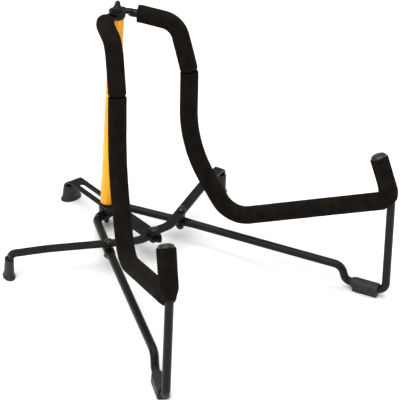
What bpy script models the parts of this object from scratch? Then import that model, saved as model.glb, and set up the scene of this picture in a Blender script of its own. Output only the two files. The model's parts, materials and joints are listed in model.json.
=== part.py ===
# Folding guitar stand: two hinged rod legs in foam sleeves, a centre post, and three flat bars that fold.
# Lengths are in metres. Z is up, the floor is Z = 0, and the guitar sits towards -Y.
# A point of a leg is given by its reach along the leg, its height, and its offset sideways from the hub.

import bpy
import bmesh
from math import atan2, ceil, cos, pi, radians, sin, sqrt, tan
from mathutils import Matrix, Vector

# Fits
GAP = 0.0003                # between pieces that touch
HOLE_PLAY = 0.0006          # how much wider a hole is than its pin

# Rod, foam and flat bar stock
ROD_DIAMETER = 0.008
FOAM_DIAMETER = 0.0165
YOKE_FOAM_DIAMETER = 0.017
BAR_WIDTH = 0.010
BAR_THICKNESS = 0.0025
SIDES_LEVEL = 4             # bevel resolution of every round tube, which gives 12 sides
SIDES = 4 + 2 * SIDES_LEVEL
ARC_STEP = radians(9)       # one ring of a bent tube for each such turn

# Leg frames
LEG_ANGLE = radians(26.5)   # from straight ahead, when the stand is open
FRAME_OFFSET = 0.0095       # of the leg's frame, sideways from the hub axis, at the floor
FRAME_SPREAD = 0.0057       # how much further out the frame's top is
TOP_BAR_RISE = 0.0017       # from the post's upper end to the middle of the top rods
TOP_BEND_REACH = 0.0548
TOP_BEND_RADIUS = 0.019
NECK_REACH = 0.0713
NECK_HEIGHT = 0.187
NECK_RADIUS = 0.040
BACK_CURVE_REACH = 0.0767
BACK_CURVE_HEIGHT = 0.1081
BACK_CURVE_RADIUS = 0.165
CRADLE_REACH = 0.1265
CRADLE_HEIGHT = 0.0413
CRADLE_RADIUS = 0.026
ARM_RISE = radians(23.4)
YOKE_REACH = 0.2824
YOKE_LEAN = radians(23.8)
YOKE_LENGTH = 0.0438
YOKE_BEND_RADIUS = 0.025
FRONT_REACH = 0.290
FRONT_BEND_RADIUS = 0.0085
FOOT_ROD_HEIGHT = 0.0074
RISER_FOOT_REACH = 0.2495
RISER_TOP_REACH = 0.2436
LOW_ROD_HEIGHT = 0.0225
RISER_LOW_RADIUS = 0.008
RISER_HIGH_RADIUS = 0.010
RIVET_REACH = 0.0736
RIVET_OFFSET = 0.0144
RIVET_BEND_RADIUS = 0.060

# Flattened ends on the hub
EYE_THICKNESS = 0.0028
EYE_INSET = 0.0002          # how much thinner the flattened rod is than its eye
EYE_RADIUS = 0.008
EYE_ROD_WIDTH = 0.0115
EYE_LEVEL_LENGTH = 0.0095   # from the bolt to where a top end drops towards its rod
EYE_DROP_RADIUS = 0.006
EYE_BEND_RADIUS = 0.008
TOP_EYE_BEND_REACH = 0.008
TOP_EYE_BEND_OFFSET = 0.0125
LOW_EYE_BEND_REACH = 0.012
LOW_EYE_BEND_OFFSET = 0.013
EYE_FLAT_LENGTH = 0.0105
EYE_RAMP_LENGTH = 0.0065
TOP_RUN_REACH = 0.018
TOP_RUN_RADIUS = 0.010

# Foam sleeves
LEFT_UPPER_FOAM_REACH = 0.0112
RIGHT_UPPER_FOAM_REACH = 0.0147
FOAM_BREAK_HEIGHT = 0.1868
FOAM_BREAK_WIDTH = 0.002
YOKE_FOAM_END_HEIGHT = 0.103
YOKE_CAP_STEM = 0.004
YOKE_CAP_RIM = 0.0012
YOKE_CAP_DOME = 0.0022
YOKE_CAP_RADIUS = 0.0074

# Hub stack, from the floor up
PIN_RADIUS = 0.00275
PIN_END_HEIGHT = 0.0006
PIN_END_TAPER = 0.6         # of the rounded tip, as a share of the pin's radius
PIN_TIP_RADIUS = 0.7
PIN_TIP_RISE = 0.15
LOW_NUT_HEIGHT = 0.0082
LOW_NUT_THICKNESS = 0.003
LOW_NUT_ACROSS = 0.009
BUSH_RADIUS = 0.0084
BUSH_THICKNESS = 0.004
POST_RADIUS = 0.0072
POST_WALL = 0.001
POST_LENGTH = 0.2044
POST_FLANGE = 0.0008
POST_PLUG_DEPTH = 0.009
POST_CAP_RIM = 0.0008
CAP_NUT_ACROSS = 0.0074
CAP_NUT_HEX_HEIGHT = 0.0032
CAP_NUT_COLLAR = 0.0002     # of the bead's foot, above the hexagon
CAP_NUT_COLLAR_SHARE = 0.44  # of the hexagon's width, for the collar's radius
CAP_NUT_CROWN = 0.001       # of solid metal between the bore and the hexagon's top
CAP_NUT_BEAD_RADIUS = 0.0029
CAP_NUT_HEIGHT = 0.0087
WASHER_THICKNESS = 0.0008
WASHER_RADIUS = 0.0046

# Pivots between the legs and the side bars
PRESSED_THICKNESS = 0.006
PRESSED_WIDTH = 0.0105
PRESSED_LENGTH = 0.012
PRESSED_RAMP = 0.008
LEFT_ROD_HEIGHT = 0.0185
RIGHT_ROD_HEIGHT = 0.0178
RIVET_RADIUS = 0.0025
RIVET_HEAD_RADIUS = 0.0047
RIVET_HEAD_HEIGHT = 0.0028
RIVET_NUT_THICKNESS = 0.0035
RIVET_NUT_ACROSS = 0.0075
RIVET_END = 0.0015
SPACER_RADIUS = 0.0042

# Side bars, as runs from the leg's rivet and angles from straight sideways, and their feet
CENTRE_PIVOT_REACH = 0.0717
BAR_END_MARGIN = 0.0075
INNER_RUN = 0.0293
INNER_BEND_RADIUS = 0.028
MIDDLE_ANGLE = radians(26.2)
MIDDLE_RUN = 0.0602
OUTER_BEND_RADIUS = 0.150
OUTER_ANGLE = radians(21.4)
OUTER_RUN = 0.037
BAR_FOOT_BEND_RADIUS = 0.005
SIDE_FOOT_WIDTH = 0.0138
SIDE_FLANGE_WIDTH = 0.0172
SIDE_FOOT_OVAL = 0.69       # an oval foot's thickness as a share of its width
SIDE_FOOT_HEIGHT = 0.0207
SOCKET_DEPTH = 0.014
FLANGE_HEIGHT = 0.003
FOOT_ROUNDING = 0.0012
FOOT_TAPER = 0.9

# Rear bar and its foot
REAR_BAR_WIDTH = 0.016
REAR_BAR_NOSE = 0.0115
REAR_NOSE_ROUND = 0.6       # of the nose's length that is rounded
REAR_CREST_Y = 0.0515
REAR_FOOT_Y = 0.0575
REAR_FOOT_WIDTH = 0.0208
REAR_FLANGE_WIDTH = 0.0236
REAR_FOOT_OVAL = 0.625
REAR_FOOT_HEIGHT = 0.017
REAR_CREST_RADIUS = 0.004
REAR_LOWER_RADIUS = 0.003
REAR_NECK = 0.0022          # from the lower bend's corner down to the foot
REAR_SOCKET_DEPTH = 0.013
SLOT_MARGIN = 0.001

# Front foot sleeves
FRONT_FOOT_START = 0.2585
FRONT_FOOT_LENGTH = 0.0245
FRONT_FOOT_WIDTH = 0.0118
FRONT_FOOT_TOP = 0.0127
FRONT_FOOT_BEVEL = 0.0025

# Folding
FOLD_ANGLE = radians(18)

# Values that follow from the ones above
ROD_RADIUS = ROD_DIAMETER / 2
BORE_APOTHEM = ROD_RADIUS + GAP
PIN_HOLE = PIN_RADIUS + HOLE_PLAY / 2
RIVET_HOLE = RIVET_RADIUS + HOLE_PLAY / 2
CAP_NUT_COLLAR_RADIUS = CAP_NUT_ACROSS * CAP_NUT_COLLAR_SHARE
PRESSED_EYE_THICKNESS = EYE_THICKNESS - EYE_INSET
YOKE_HEIGHT = CRADLE_HEIGHT + (YOKE_REACH - CRADLE_REACH) * tan(ARM_RISE)
LEFT_LOW_EYE = LOW_NUT_HEIGHT + LOW_NUT_THICKNESS + GAP
RIGHT_LOW_EYE = LEFT_LOW_EYE + EYE_THICKNESS + GAP
BUSH_HEIGHT = RIGHT_LOW_EYE + EYE_THICKNESS + GAP
REAR_BAR_HEIGHT = BUSH_HEIGHT + BUSH_THICKNESS + GAP
POST_FLANGE_HEIGHT = REAR_BAR_HEIGHT + BAR_THICKNESS + GAP
POST_FOOT_HEIGHT = POST_FLANGE_HEIGHT + POST_FLANGE + GAP
POST_TOP_HEIGHT = POST_FOOT_HEIGHT + POST_LENGTH
TOP_BAR_HEIGHT = POST_TOP_HEIGHT + TOP_BAR_RISE
LEFT_TOP_EYE = POST_TOP_HEIGHT + GAP + POST_CAP_RIM + GAP
RIGHT_TOP_EYE = LEFT_TOP_EYE + EYE_THICKNESS + GAP
WASHER_HEIGHT = RIGHT_TOP_EYE + EYE_THICKNESS + GAP
CAP_NUT_BASE = WASHER_HEIGHT + WASHER_THICKNESS + GAP
LEFT_BAR_HEIGHT = REAR_BAR_HEIGHT + BAR_THICKNESS + GAP
RIGHT_BAR_HEIGHT = LEFT_BAR_HEIGHT + BAR_THICKNESS + GAP

# The hub sits where the open stand's front and rear ends are as far from the origin
FRONT_TURN = pi / 2 + atan2(FRONT_REACH - YOKE_REACH, YOKE_HEIGHT - FOOT_ROD_HEIGHT)
FRONT_MOST_REACH = FRONT_REACH - FRONT_BEND_RADIUS * (tan(FRONT_TURN / 2) - 1)
FRONT_OFFSET = FRAME_OFFSET + FRAME_SPREAD * (FOOT_ROD_HEIGHT / TOP_BAR_HEIGHT) ** 2
FRONT_EXTENT = FRONT_MOST_REACH * cos(LEG_ANGLE) - FRONT_OFFSET * sin(LEG_ANGLE) + ROD_RADIUS
REAR_EXTENT = REAR_FOOT_Y + REAR_FLANGE_WIDTH * REAR_FOOT_OVAL / 2
HUB_Y = (FRONT_EXTENT - REAR_EXTENT) / 2

LEFT = -1
RIGHT = 1
SIDE_NAMES = {LEFT: "left", RIGHT: "right"}


def leg_point(side, reach, height, offset=None, angle=LEG_ANGLE):
    if offset is None:
        offset = FRAME_OFFSET + FRAME_SPREAD * (height / TOP_BAR_HEIGHT) ** 2
    x = side * (reach * sin(angle) + offset * cos(angle))
    y = offset * sin(angle) - reach * cos(angle)
    return Vector((x, y, height))


def leg_reach(side, point):
    return point.x * side * sin(LEG_ANGLE) - point.y * cos(LEG_ANGLE)


# The side bars pivot on the legs and meet at the centre pivot, which slides straight along the hub's plane
RIVETS = {side: leg_point(side, RIVET_REACH, 0, RIVET_OFFSET) for side in (LEFT, RIGHT)}
CENTRE_PIVOT = Vector((0, -CENTRE_PIVOT_REACH, 0))
LINK_LENGTH = (RIVETS[RIGHT] - CENTRE_PIVOT).length
FOLDED_RIVET = leg_point(RIGHT, RIVET_REACH, 0, RIVET_OFFSET, LEG_ANGLE - FOLD_ANGLE)
FOLDED_CENTRE_REACH = sqrt(LINK_LENGTH ** 2 - FOLDED_RIVET.x ** 2) - FOLDED_RIVET.y
SLIDE_TRAVEL = FOLDED_CENTRE_REACH - CENTRE_PIVOT_REACH

PIVOTS = {
    "post": Vector((0, 0, 0)),
    "left_leg": Vector((0, 0, 0)),
    "right_leg": Vector((0, 0, 0)),
    "left_bar": RIVETS[LEFT],
    "right_bar": RIVETS[RIGHT],
    "rear_bar": CENTRE_PIVOT,
}


# Scene and placing

def clear_scene():
    for obj in list(bpy.data.objects):
        bpy.data.objects.remove(obj, do_unlink=True)


def make_collection(name):
    collection = bpy.data.collections.new(name)
    bpy.context.scene.collection.children.link(collection)
    return collection


def make_axes():
    stand = bpy.data.objects.new("stand_axis", None)
    stand.location = (0, HUB_Y, 0)
    PARTS.objects.link(stand)
    axes = {}
    for body, pivot in PIVOTS.items():
        axis = bpy.data.objects.new(body + "_axis", None)
        axis.parent = stand
        axis.location = pivot
        PARTS.objects.link(axis)
        axes[body] = axis
    return axes


def move_to(collection, obj):
    for old in list(obj.users_collection):
        old.objects.unlink(obj)
    collection.objects.link(obj)


def place(obj, body, material):
    """Hangs a piece, built in the hub's frame, on its body's axis, with whatever cuts or joins it."""
    obj.data.materials.clear()
    obj.data.materials.append(material)
    helpers = [m.object for m in obj.modifiers if m.type == "BOOLEAN"]
    for item in [obj] + helpers:
        own = item.matrix_basis.copy()
        item.parent = AXES[body]
        item.matrix_basis = Matrix.Translation(-PIVOTS[body]) @ own
    for helper in helpers:
        helper.data.materials.append(material)
    return obj


def make_material(name, colour, roughness, metallic):
    material = bpy.data.materials.new(name)
    material.use_nodes = True
    shader = material.node_tree.nodes["Principled BSDF"]
    shader.inputs["Base Color"].default_value = (*colour, 1)
    shader.inputs["Roughness"].default_value = roughness
    shader.inputs["Metallic"].default_value = metallic
    material.diffuse_color = (*colour, 1)
    return material


# Shapes

def mesh_object(name, mesh):
    obj = bpy.data.objects.new(name, mesh)
    PARTS.objects.link(obj)
    return obj


def smooth(mesh):
    mesh.shade_smooth()
    mesh.set_sharp_from_angle(angle=radians(35))


def turned(name, profile, matrix=Matrix(), closed=False, steps=16):
    """A profile of (radius, height) points, turned about Z. It runs down its outer side."""
    mesh = bpy.data.meshes.new(name)
    shape = bmesh.new()
    corners = [shape.verts.new((radius, 0, height)) for radius, height in profile]
    for first, second in zip(corners, corners[1:]):
        shape.edges.new((first, second))
    if closed:
        shape.edges.new((corners[-1], corners[0]))
    shape.to_mesh(mesh)
    shape.free()
    obj = mesh_object(name, mesh)
    obj.matrix_basis = matrix
    screw = obj.modifiers.new("turn", "SCREW")
    screw.axis = "Z"
    screw.steps = steps
    screw.render_steps = steps
    screw.use_merge_vertices = True
    screw.merge_threshold = 0.00001
    screw.use_smooth_shade = True
    return obj


def ring_profile(inner, outer, low, high):
    return [(outer, high), (outer, low), (inner, low), (inner, high)]


def cylinder(name, radius, low, high, sides=16, matrix=Matrix()):
    mesh = bpy.data.meshes.new(name)
    shape = bmesh.new()
    middle = Matrix.Translation((0, 0, (low + high) / 2))
    bmesh.ops.create_cone(shape, cap_ends=True, segments=sides, radius1=radius, radius2=radius,
                          depth=high - low, matrix=matrix @ middle)
    shape.to_mesh(mesh)
    shape.free()
    smooth(mesh)
    return mesh_object(name, mesh)


def block(name, size, low, high, matrix=Matrix()):
    """A box of the size (width, depth) between two heights."""
    mesh = bpy.data.meshes.new(name)
    shape = bmesh.new()
    bmesh.ops.create_cube(shape, size=1)
    for vert in shape.verts:
        vert.co = Vector((vert.co.x * size[0], vert.co.y * size[1], high if vert.co.z > 0 else low))
    bmesh.ops.transform(shape, matrix=matrix, verts=shape.verts)
    shape.to_mesh(mesh)
    shape.free()
    return mesh_object(name, mesh)


def round_edges(obj, width, segments=2):
    bevel = obj.modifiers.new("round", "BEVEL")
    bevel.width = width
    bevel.segments = segments
    bevel.limit_method = "ANGLE"
    return obj


def combine(obj, helper, operation):
    """Cuts the helper from the piece, or joins it on. The helper stays out of the renders."""
    step = obj.modifiers.new(operation.lower(), "BOOLEAN")
    step.operation = operation
    step.solver = "EXACT"
    step.object = helper
    move_to(CUTTERS, helper)
    helper.hide_render = True
    helper.display_type = "WIRE"
    return obj


def cut(obj, helper):
    return combine(obj, helper, "DIFFERENCE")


def join(obj, helper):
    return combine(obj, helper, "UNION")


# Paths

def bent(corners):
    """A path through corners given as (point, bend radius), with an arc at each corner between its ends."""
    path = [corners[0][0]]
    for (before, _), (corner, radius), (after, _) in zip(corners, corners[1:], corners[2:]):
        back = before - corner
        ahead = after - corner
        turn = pi - back.angle(ahead)
        room = 0.49 * min(back.length, ahead.length)
        tangent = min(radius * tan(turn / 2), room)
        radius = tangent / tan(turn / 2)
        towards = (back.normalized() + ahead.normalized()).normalized()
        centre = corner + towards * radius / cos(turn / 2)
        first = corner + back.normalized() * tangent - centre
        last = corner + ahead.normalized() * tangent - centre
        normal = first.cross(last).normalized()
        steps = max(2, ceil(turn / ARC_STEP))
        for step in range(steps + 1):
            path.append(centre + Matrix.Rotation(turn * step / steps, 3, normal) @ first)
    path.append(corners[-1][0])
    return path


def distances(path):
    total = [0.0]
    for first, second in zip(path, path[1:]):
        total.append(total[-1] + (second - first).length)
    return total


def point_at(path, distance):
    run = distances(path)
    for index, (start, end) in enumerate(zip(run, run[1:])):
        if distance <= end or index == len(path) - 2:
            share = (distance - start) / (end - start)
            return path[index].lerp(path[index + 1], share)


def stretch(path, start, end):
    """The part of a path between two distances along it."""
    inside = [point for point, run in zip(path, distances(path)) if start + 0.0002 < run < end - 0.0002]
    return [point_at(path, start)] + inside + [point_at(path, end)]


def where(path, measure, value):
    """How far along the path the measure first passes the value."""
    run = distances(path)
    for index in range(len(path) - 1):
        first = measure(path[index]) - value
        second = measure(path[index + 1]) - value
        if first * second <= 0 and first != second:
            return run[index] + (run[index + 1] - run[index]) * first / (first - second)


def with_rings(path, start, end, step):
    """The path with more points between two distances, where its section changes."""
    count = max(1, ceil((end - start) / step))
    extra = [start + (end - start) * index / count for index in range(count + 1)]
    run = distances(path)
    marked = list(zip(run, path))
    marked += [(mark, point_at(path, mark)) for mark in extra if min(abs(mark - old) for old in run) > step / 4]
    return [point for _, point in sorted(marked, key=lambda pair: pair[0])]


# Tubes and straps

def tube(name, path, diameter, capped=True):
    curve = bpy.data.curves.new(name + "_path", "CURVE")
    curve.dimensions = "3D"
    curve.bevel_depth = diameter / 2
    curve.bevel_resolution = SIDES_LEVEL
    curve.use_fill_caps = capped
    line = curve.splines.new("POLY")
    line.points.add(len(path) - 1)
    for point, spot in zip(line.points, path):
        point.co = (*spot, 1)
    guide = bpy.data.objects.new(name + "_path", curve)
    PARTS.objects.link(guide)
    bpy.context.view_layer.update()
    evaluated = guide.evaluated_get(bpy.context.evaluated_depsgraph_get())
    mesh = bpy.data.meshes.new_from_object(evaluated)
    mesh.name = name
    shape = bmesh.new()
    shape.from_mesh(mesh)
    bmesh.ops.remove_doubles(shape, verts=shape.verts, dist=0.00001)
    shape.to_mesh(mesh)
    shape.free()
    smooth(mesh)
    obj = mesh_object(name, mesh)
    obj.matrix_world = guide.matrix_world
    bpy.data.objects.remove(guide)
    return obj


def sleeve(name, path, diameter):
    """A foam tube, open at both ends, with a bore that clears the rod."""
    obj = tube(name, path, diameter, capped=False)
    wall = obj.modifiers.new("wall", "SOLIDIFY")
    wall.thickness = diameter / 2 * cos(pi / SIDES) - BORE_APOTHEM
    wall.offset = -1
    wall.use_even_offset = True
    return obj


def press_flat(obj, path, middle, half_length, ramp, height_share, width_share):
    """Squeezes a tube's section around one place on its path, as a press does."""
    run = distances(path)
    for vert in obj.data.vertices:
        best = None
        for index in range(len(path) - 1):
            along = path[index + 1] - path[index]
            share = max(0, min(1, (vert.co - path[index]).dot(along) / along.length_squared))
            centre = path[index] + along * share
            far = (vert.co - centre).length
            if best is None or far < best[0]:
                best = (far, centre, along.normalized(), run[index] + along.length * share)
        _, centre, along, distance = best
        amount = max(0, min(1, (half_length + ramp - abs(distance - middle)) / ramp))
        amount = amount * amount * (3 - 2 * amount)
        across = along.cross(Vector((0, 0, 1))).normalized()
        upright = across.cross(along)
        off = vert.co - centre
        wide = off.dot(across) * (1 + amount * (width_share - 1))
        high = off.dot(upright) * (1 + amount * (height_share - 1))
        vert.co = centre + along * off.dot(along) + across * wide + upright * high


def strap(name, path, widths, thickness):
    """A flat strip whose middle follows the path's underside. Its width stays level."""
    mesh = bpy.data.meshes.new(name)
    shape = bmesh.new()
    rows = []
    across = None
    for index, (point, width) in enumerate(zip(path, widths)):
        ahead = path[min(index + 1, len(path) - 1)] - path[max(index - 1, 0)]
        level = Vector((ahead.x, ahead.y, 0))
        if across is None or level.length > 0.2 * ahead.length:
            across = Vector((-level.y, level.x, 0)).normalized()
        rows.append([shape.verts.new(point + across * width / 2), shape.verts.new(point - across * width / 2)])
    for first, second in zip(rows, rows[1:]):
        shape.faces.new((first[0], second[0], second[1], first[1]))
    bmesh.ops.recalc_face_normals(shape, faces=shape.faces)
    shape.faces.ensure_lookup_table()
    if shape.faces[0].normal.z < 0:
        bmesh.ops.reverse_faces(shape, faces=shape.faces)
    shape.to_mesh(mesh)
    shape.free()
    obj = mesh_object(name, mesh)
    wall = obj.modifiers.new("wall", "SOLIDIFY")
    wall.thickness = thickness
    wall.offset = 1
    wall.use_even_offset = True
    return obj


def rounded_start(path, radius, width):
    """The first stretch of a strap, with the widths that give it a round end."""
    steps = 6
    run = []
    widths = []
    for step in range(1, steps + 1):
        angle = pi / 2 * step / steps
        run.append(radius * (1 - cos(angle)))
        widths.append(width * sin(angle))
    start = [point_at(path, distance) for distance in run]
    total = distances(path)
    rest = [point for point, distance in zip(path, total) if distance > radius + 0.0005]
    return start + rest, widths + [width] * len(rest)


# Hub and post

def make_post():
    inside = POST_RADIUS - POST_WALL
    tube_profile = ring_profile(inside, POST_RADIUS, POST_FOOT_HEIGHT, POST_TOP_HEIGHT)
    place(turned("post_tube", tube_profile, closed=True, steps=24), "post", YELLOW)

    plug = inside - GAP
    low_cap = [
        (plug, POST_FOOT_HEIGHT - GAP + POST_PLUG_DEPTH),
        (plug, POST_FOOT_HEIGHT - GAP),
        (POST_RADIUS, POST_FOOT_HEIGHT - GAP),
        (POST_RADIUS, POST_FLANGE_HEIGHT),
        (PIN_HOLE, POST_FLANGE_HEIGHT),
        (PIN_HOLE, POST_FOOT_HEIGHT - GAP + POST_PLUG_DEPTH),
    ]
    place(turned("post_lower_plug", low_cap, closed=True), "post", PLASTIC)

    cap_base = POST_TOP_HEIGHT + GAP
    high_cap = [
        (POST_RADIUS, cap_base + POST_CAP_RIM),
        (POST_RADIUS, cap_base),
        (plug, cap_base),
        (plug, cap_base - POST_PLUG_DEPTH),
        (PIN_HOLE, cap_base - POST_PLUG_DEPTH),
        (PIN_HOLE, cap_base + POST_CAP_RIM),
    ]
    place(turned("post_top_cap", high_cap, closed=True), "post", PLASTIC)


def make_hub_fasteners():
    top = CAP_NUT_BASE + CAP_NUT_HEX_HEIGHT
    bore_top = top - CAP_NUT_CROWN
    pin = [
        (0, bore_top - GAP),
        (PIN_RADIUS, bore_top - GAP),
        (PIN_RADIUS, PIN_END_HEIGHT + PIN_RADIUS * PIN_END_TAPER),
        (PIN_RADIUS * PIN_TIP_RADIUS, PIN_END_HEIGHT + PIN_RADIUS * PIN_TIP_RISE),
        (0, PIN_END_HEIGHT),
    ]
    place(turned("hub_bolt", pin), "post", HARDWARE)

    low_nut = cylinder("hub_lower_nut", LOW_NUT_ACROSS / sqrt(3), LOW_NUT_HEIGHT,
                       LOW_NUT_HEIGHT + LOW_NUT_THICKNESS, sides=6)
    cut(low_nut, cylinder("hub_lower_nut_bore", PIN_HOLE, 0, LOW_NUT_HEIGHT + 2 * LOW_NUT_THICKNESS))
    place(low_nut, "post", HARDWARE)

    bush = ring_profile(PIN_HOLE, BUSH_RADIUS, BUSH_HEIGHT, BUSH_HEIGHT + BUSH_THICKNESS)
    place(turned("hub_lower_bush", bush, closed=True, steps=24), "post", HARDWARE)

    washer = ring_profile(PIN_HOLE, WASHER_RADIUS, WASHER_HEIGHT, WASHER_HEIGHT + WASHER_THICKNESS)
    place(turned("hub_washer", washer, closed=True), "post", HARDWARE)

    hexagon = cylinder("cap_nut", CAP_NUT_ACROSS / sqrt(3), CAP_NUT_BASE, top, sides=6)
    bead_middle = CAP_NUT_BASE + CAP_NUT_HEIGHT - CAP_NUT_BEAD_RADIUS
    arc = [
        (CAP_NUT_BEAD_RADIUS * sin(radians(angle)), bead_middle + CAP_NUT_BEAD_RADIUS * cos(radians(angle)))
        for angle in range(0, 136, 15)
    ]
    dome = turned("cap_nut_dome", arc + [
        (CAP_NUT_COLLAR_RADIUS, top + CAP_NUT_COLLAR),
        (CAP_NUT_COLLAR_RADIUS, top - CAP_NUT_COLLAR),
        (0, top - CAP_NUT_COLLAR),
    ])
    join(hexagon, dome)
    cut(hexagon, cylinder("cap_nut_bore", PIN_HOLE, CAP_NUT_BASE - CAP_NUT_CROWN, bore_top))
    place(hexagon, "post", HARDWARE)


# Legs

def front_path(side):
    """From the hub along the lower rod, down the riser, under the foot, up the front rod and the yoke stub."""
    eye = (LEFT_LOW_EYE if side == LEFT else RIGHT_LOW_EYE) + EYE_THICKNESS / 2
    rod_height = LEFT_ROD_HEIGHT if side == LEFT else RIGHT_ROD_HEIGHT
    yoke = leg_point(side, YOKE_REACH, YOKE_HEIGHT)
    top = yoke_point(side, YOKE_LENGTH - YOKE_CAP_STEM - GAP)
    return bent([
        (Vector((0, 0, eye)), 0),
        (leg_point(side, LOW_EYE_BEND_REACH, eye, LOW_EYE_BEND_OFFSET), EYE_BEND_RADIUS),
        (leg_point(side, RIVET_REACH, rod_height, RIVET_OFFSET), RIVET_BEND_RADIUS),
        (leg_point(side, RISER_TOP_REACH, LOW_ROD_HEIGHT), RISER_HIGH_RADIUS),
        (leg_point(side, RISER_FOOT_REACH, FOOT_ROD_HEIGHT), RISER_LOW_RADIUS),
        (leg_point(side, FRONT_REACH, FOOT_ROD_HEIGHT), FRONT_BEND_RADIUS),
        (yoke, YOKE_BEND_RADIUS),
        (top, 0),
    ])


def back_path(side):
    """Out from the hub's top, down the back, round the cradle and up the arm to the yoke."""
    eye = (LEFT_TOP_EYE if side == LEFT else RIGHT_TOP_EYE) + EYE_THICKNESS / 2
    bend = leg_point(side, TOP_EYE_BEND_REACH, TOP_BAR_HEIGHT, TOP_EYE_BEND_OFFSET)
    level = Vector((bend.x, bend.y, 0)).normalized() * EYE_LEVEL_LENGTH + Vector((0, 0, eye))
    return bent([
        (Vector((0, 0, eye)), 0),
        (level, EYE_DROP_RADIUS),
        (bend, EYE_BEND_RADIUS),
        (leg_point(side, TOP_RUN_REACH, TOP_BAR_HEIGHT), TOP_RUN_RADIUS),
        (leg_point(side, TOP_BEND_REACH, TOP_BAR_HEIGHT), TOP_BEND_RADIUS),
        (leg_point(side, NECK_REACH, NECK_HEIGHT), NECK_RADIUS),
        (leg_point(side, BACK_CURVE_REACH, BACK_CURVE_HEIGHT), BACK_CURVE_RADIUS),
        (leg_point(side, CRADLE_REACH, CRADLE_HEIGHT), CRADLE_RADIUS),
        (leg_point(side, YOKE_REACH, YOKE_HEIGHT), 0),
    ])


def yoke_point(side, up):
    return leg_point(side, YOKE_REACH - up * sin(YOKE_LEAN), YOKE_HEIGHT + up * cos(YOKE_LEAN))


def yoke_path(side, down, up):
    """The yoke's line: the front rod below, the stub above."""
    yoke = leg_point(side, YOKE_REACH, YOKE_HEIGHT)
    front = leg_point(side, FRONT_REACH, FOOT_ROD_HEIGHT)
    below = yoke + (front - yoke).normalized() * down
    return bent([(below, 0), (yoke, YOKE_BEND_RADIUS), (yoke_point(side, up), 0)])


def add_eye(obj, height):
    """A round eye on the flattened end of a rod, with the hub bolt's hole."""
    name = obj.name
    join(obj, cylinder(name + "_eye", EYE_RADIUS, height, height + EYE_THICKNESS))
    cut(obj, cylinder(name + "_eye_hole", PIN_HOLE, height - EYE_THICKNESS, height + 2 * EYE_THICKNESS))


def make_front_tube(side):
    name = SIDE_NAMES[side]
    path = front_path(side)
    rivet_run = where(path, lambda point: leg_reach(side, point), RIVET_REACH)
    rings = with_rings(path, EYE_FLAT_LENGTH, EYE_FLAT_LENGTH + EYE_RAMP_LENGTH, 0.002)
    reach = PRESSED_LENGTH / 2 + PRESSED_RAMP
    rings = with_rings(rings, rivet_run - reach, rivet_run + reach, 0.003)
    obj = tube(name + "_front_tube", rings, ROD_DIAMETER)
    thin = PRESSED_EYE_THICKNESS / ROD_DIAMETER
    press_flat(obj, path, 0, EYE_FLAT_LENGTH, EYE_RAMP_LENGTH, thin, EYE_ROD_WIDTH / ROD_DIAMETER)
    press_flat(obj, path, rivet_run, PRESSED_LENGTH / 2, PRESSED_RAMP,
               PRESSED_THICKNESS / ROD_DIAMETER, PRESSED_WIDTH / ROD_DIAMETER)
    add_eye(obj, LEFT_LOW_EYE if side == LEFT else RIGHT_LOW_EYE)
    at_rivet = Matrix.Translation(RIVETS[side])
    cut(obj, cylinder(name + "_front_tube_rivet_hole", RIVET_HOLE, 0, 2 * LOW_ROD_HEIGHT, matrix=at_rivet))
    place(obj, name + "_leg", BLACK)


def make_back_tube(side):
    name = SIDE_NAMES[side]
    path = back_path(side)
    rings = with_rings(path, EYE_FLAT_LENGTH, EYE_FLAT_LENGTH + EYE_RAMP_LENGTH, 0.002)
    obj = tube(name + "_back_tube", rings, ROD_DIAMETER)
    thin = PRESSED_EYE_THICKNESS / ROD_DIAMETER
    press_flat(obj, path, 0, EYE_FLAT_LENGTH, EYE_RAMP_LENGTH, thin, EYE_ROD_WIDTH / ROD_DIAMETER)
    add_eye(obj, LEFT_TOP_EYE if side == LEFT else RIGHT_TOP_EYE)
    cope = tube(obj.name + "_cope", yoke_path(side, FOAM_DIAMETER, FOAM_DIAMETER), ROD_DIAMETER + 2 * GAP)
    cut(obj, cope)
    place(obj, name + "_leg", BLACK)


def make_foam(side):
    name = SIDE_NAMES[side]
    body = name + "_leg"
    path = back_path(side)
    foam_reach = LEFT_UPPER_FOAM_REACH if side == LEFT else RIGHT_UPPER_FOAM_REACH
    start = where(path, lambda point: leg_reach(side, point), foam_reach)
    split = where(path, lambda point: point.z if leg_reach(side, point) > TOP_BEND_REACH else 1, FOAM_BREAK_HEIGHT)
    end = distances(path)[-1]
    upper = stretch(path, start, split - FOAM_BREAK_WIDTH / 2)
    place(sleeve(name + "_upper_foam", upper, FOAM_DIAMETER), body, FOAM)

    lower = stretch(path, split + FOAM_BREAK_WIDTH / 2, end)
    long_foam = sleeve(name + "_long_foam", lower, FOAM_DIAMETER)
    room = yoke_path(side, FOAM_DIAMETER * 2, FOAM_DIAMETER * 2)
    cut(long_foam, tube(name + "_long_foam_cope", room, YOKE_FOAM_DIAMETER + 2 * GAP))
    place(long_foam, body, FOAM)

    yoke = leg_point(side, YOKE_REACH, YOKE_HEIGHT)
    down = YOKE_HEIGHT - YOKE_FOAM_END_HEIGHT
    yoke_foam = sleeve(name + "_yoke_foam", yoke_path(side, down, YOKE_LENGTH), YOKE_FOAM_DIAMETER)
    arm = (point_at(path, end - FOAM_DIAMETER) - yoke).normalized()
    side_hole = [yoke + arm * GAP, yoke + arm * FOAM_DIAMETER]
    cut(yoke_foam, tube(name + "_yoke_foam_hole", side_hole, (ROD_DIAMETER + 2 * GAP) / cos(pi / SIDES)))
    place(yoke_foam, body, FOAM)


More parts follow.
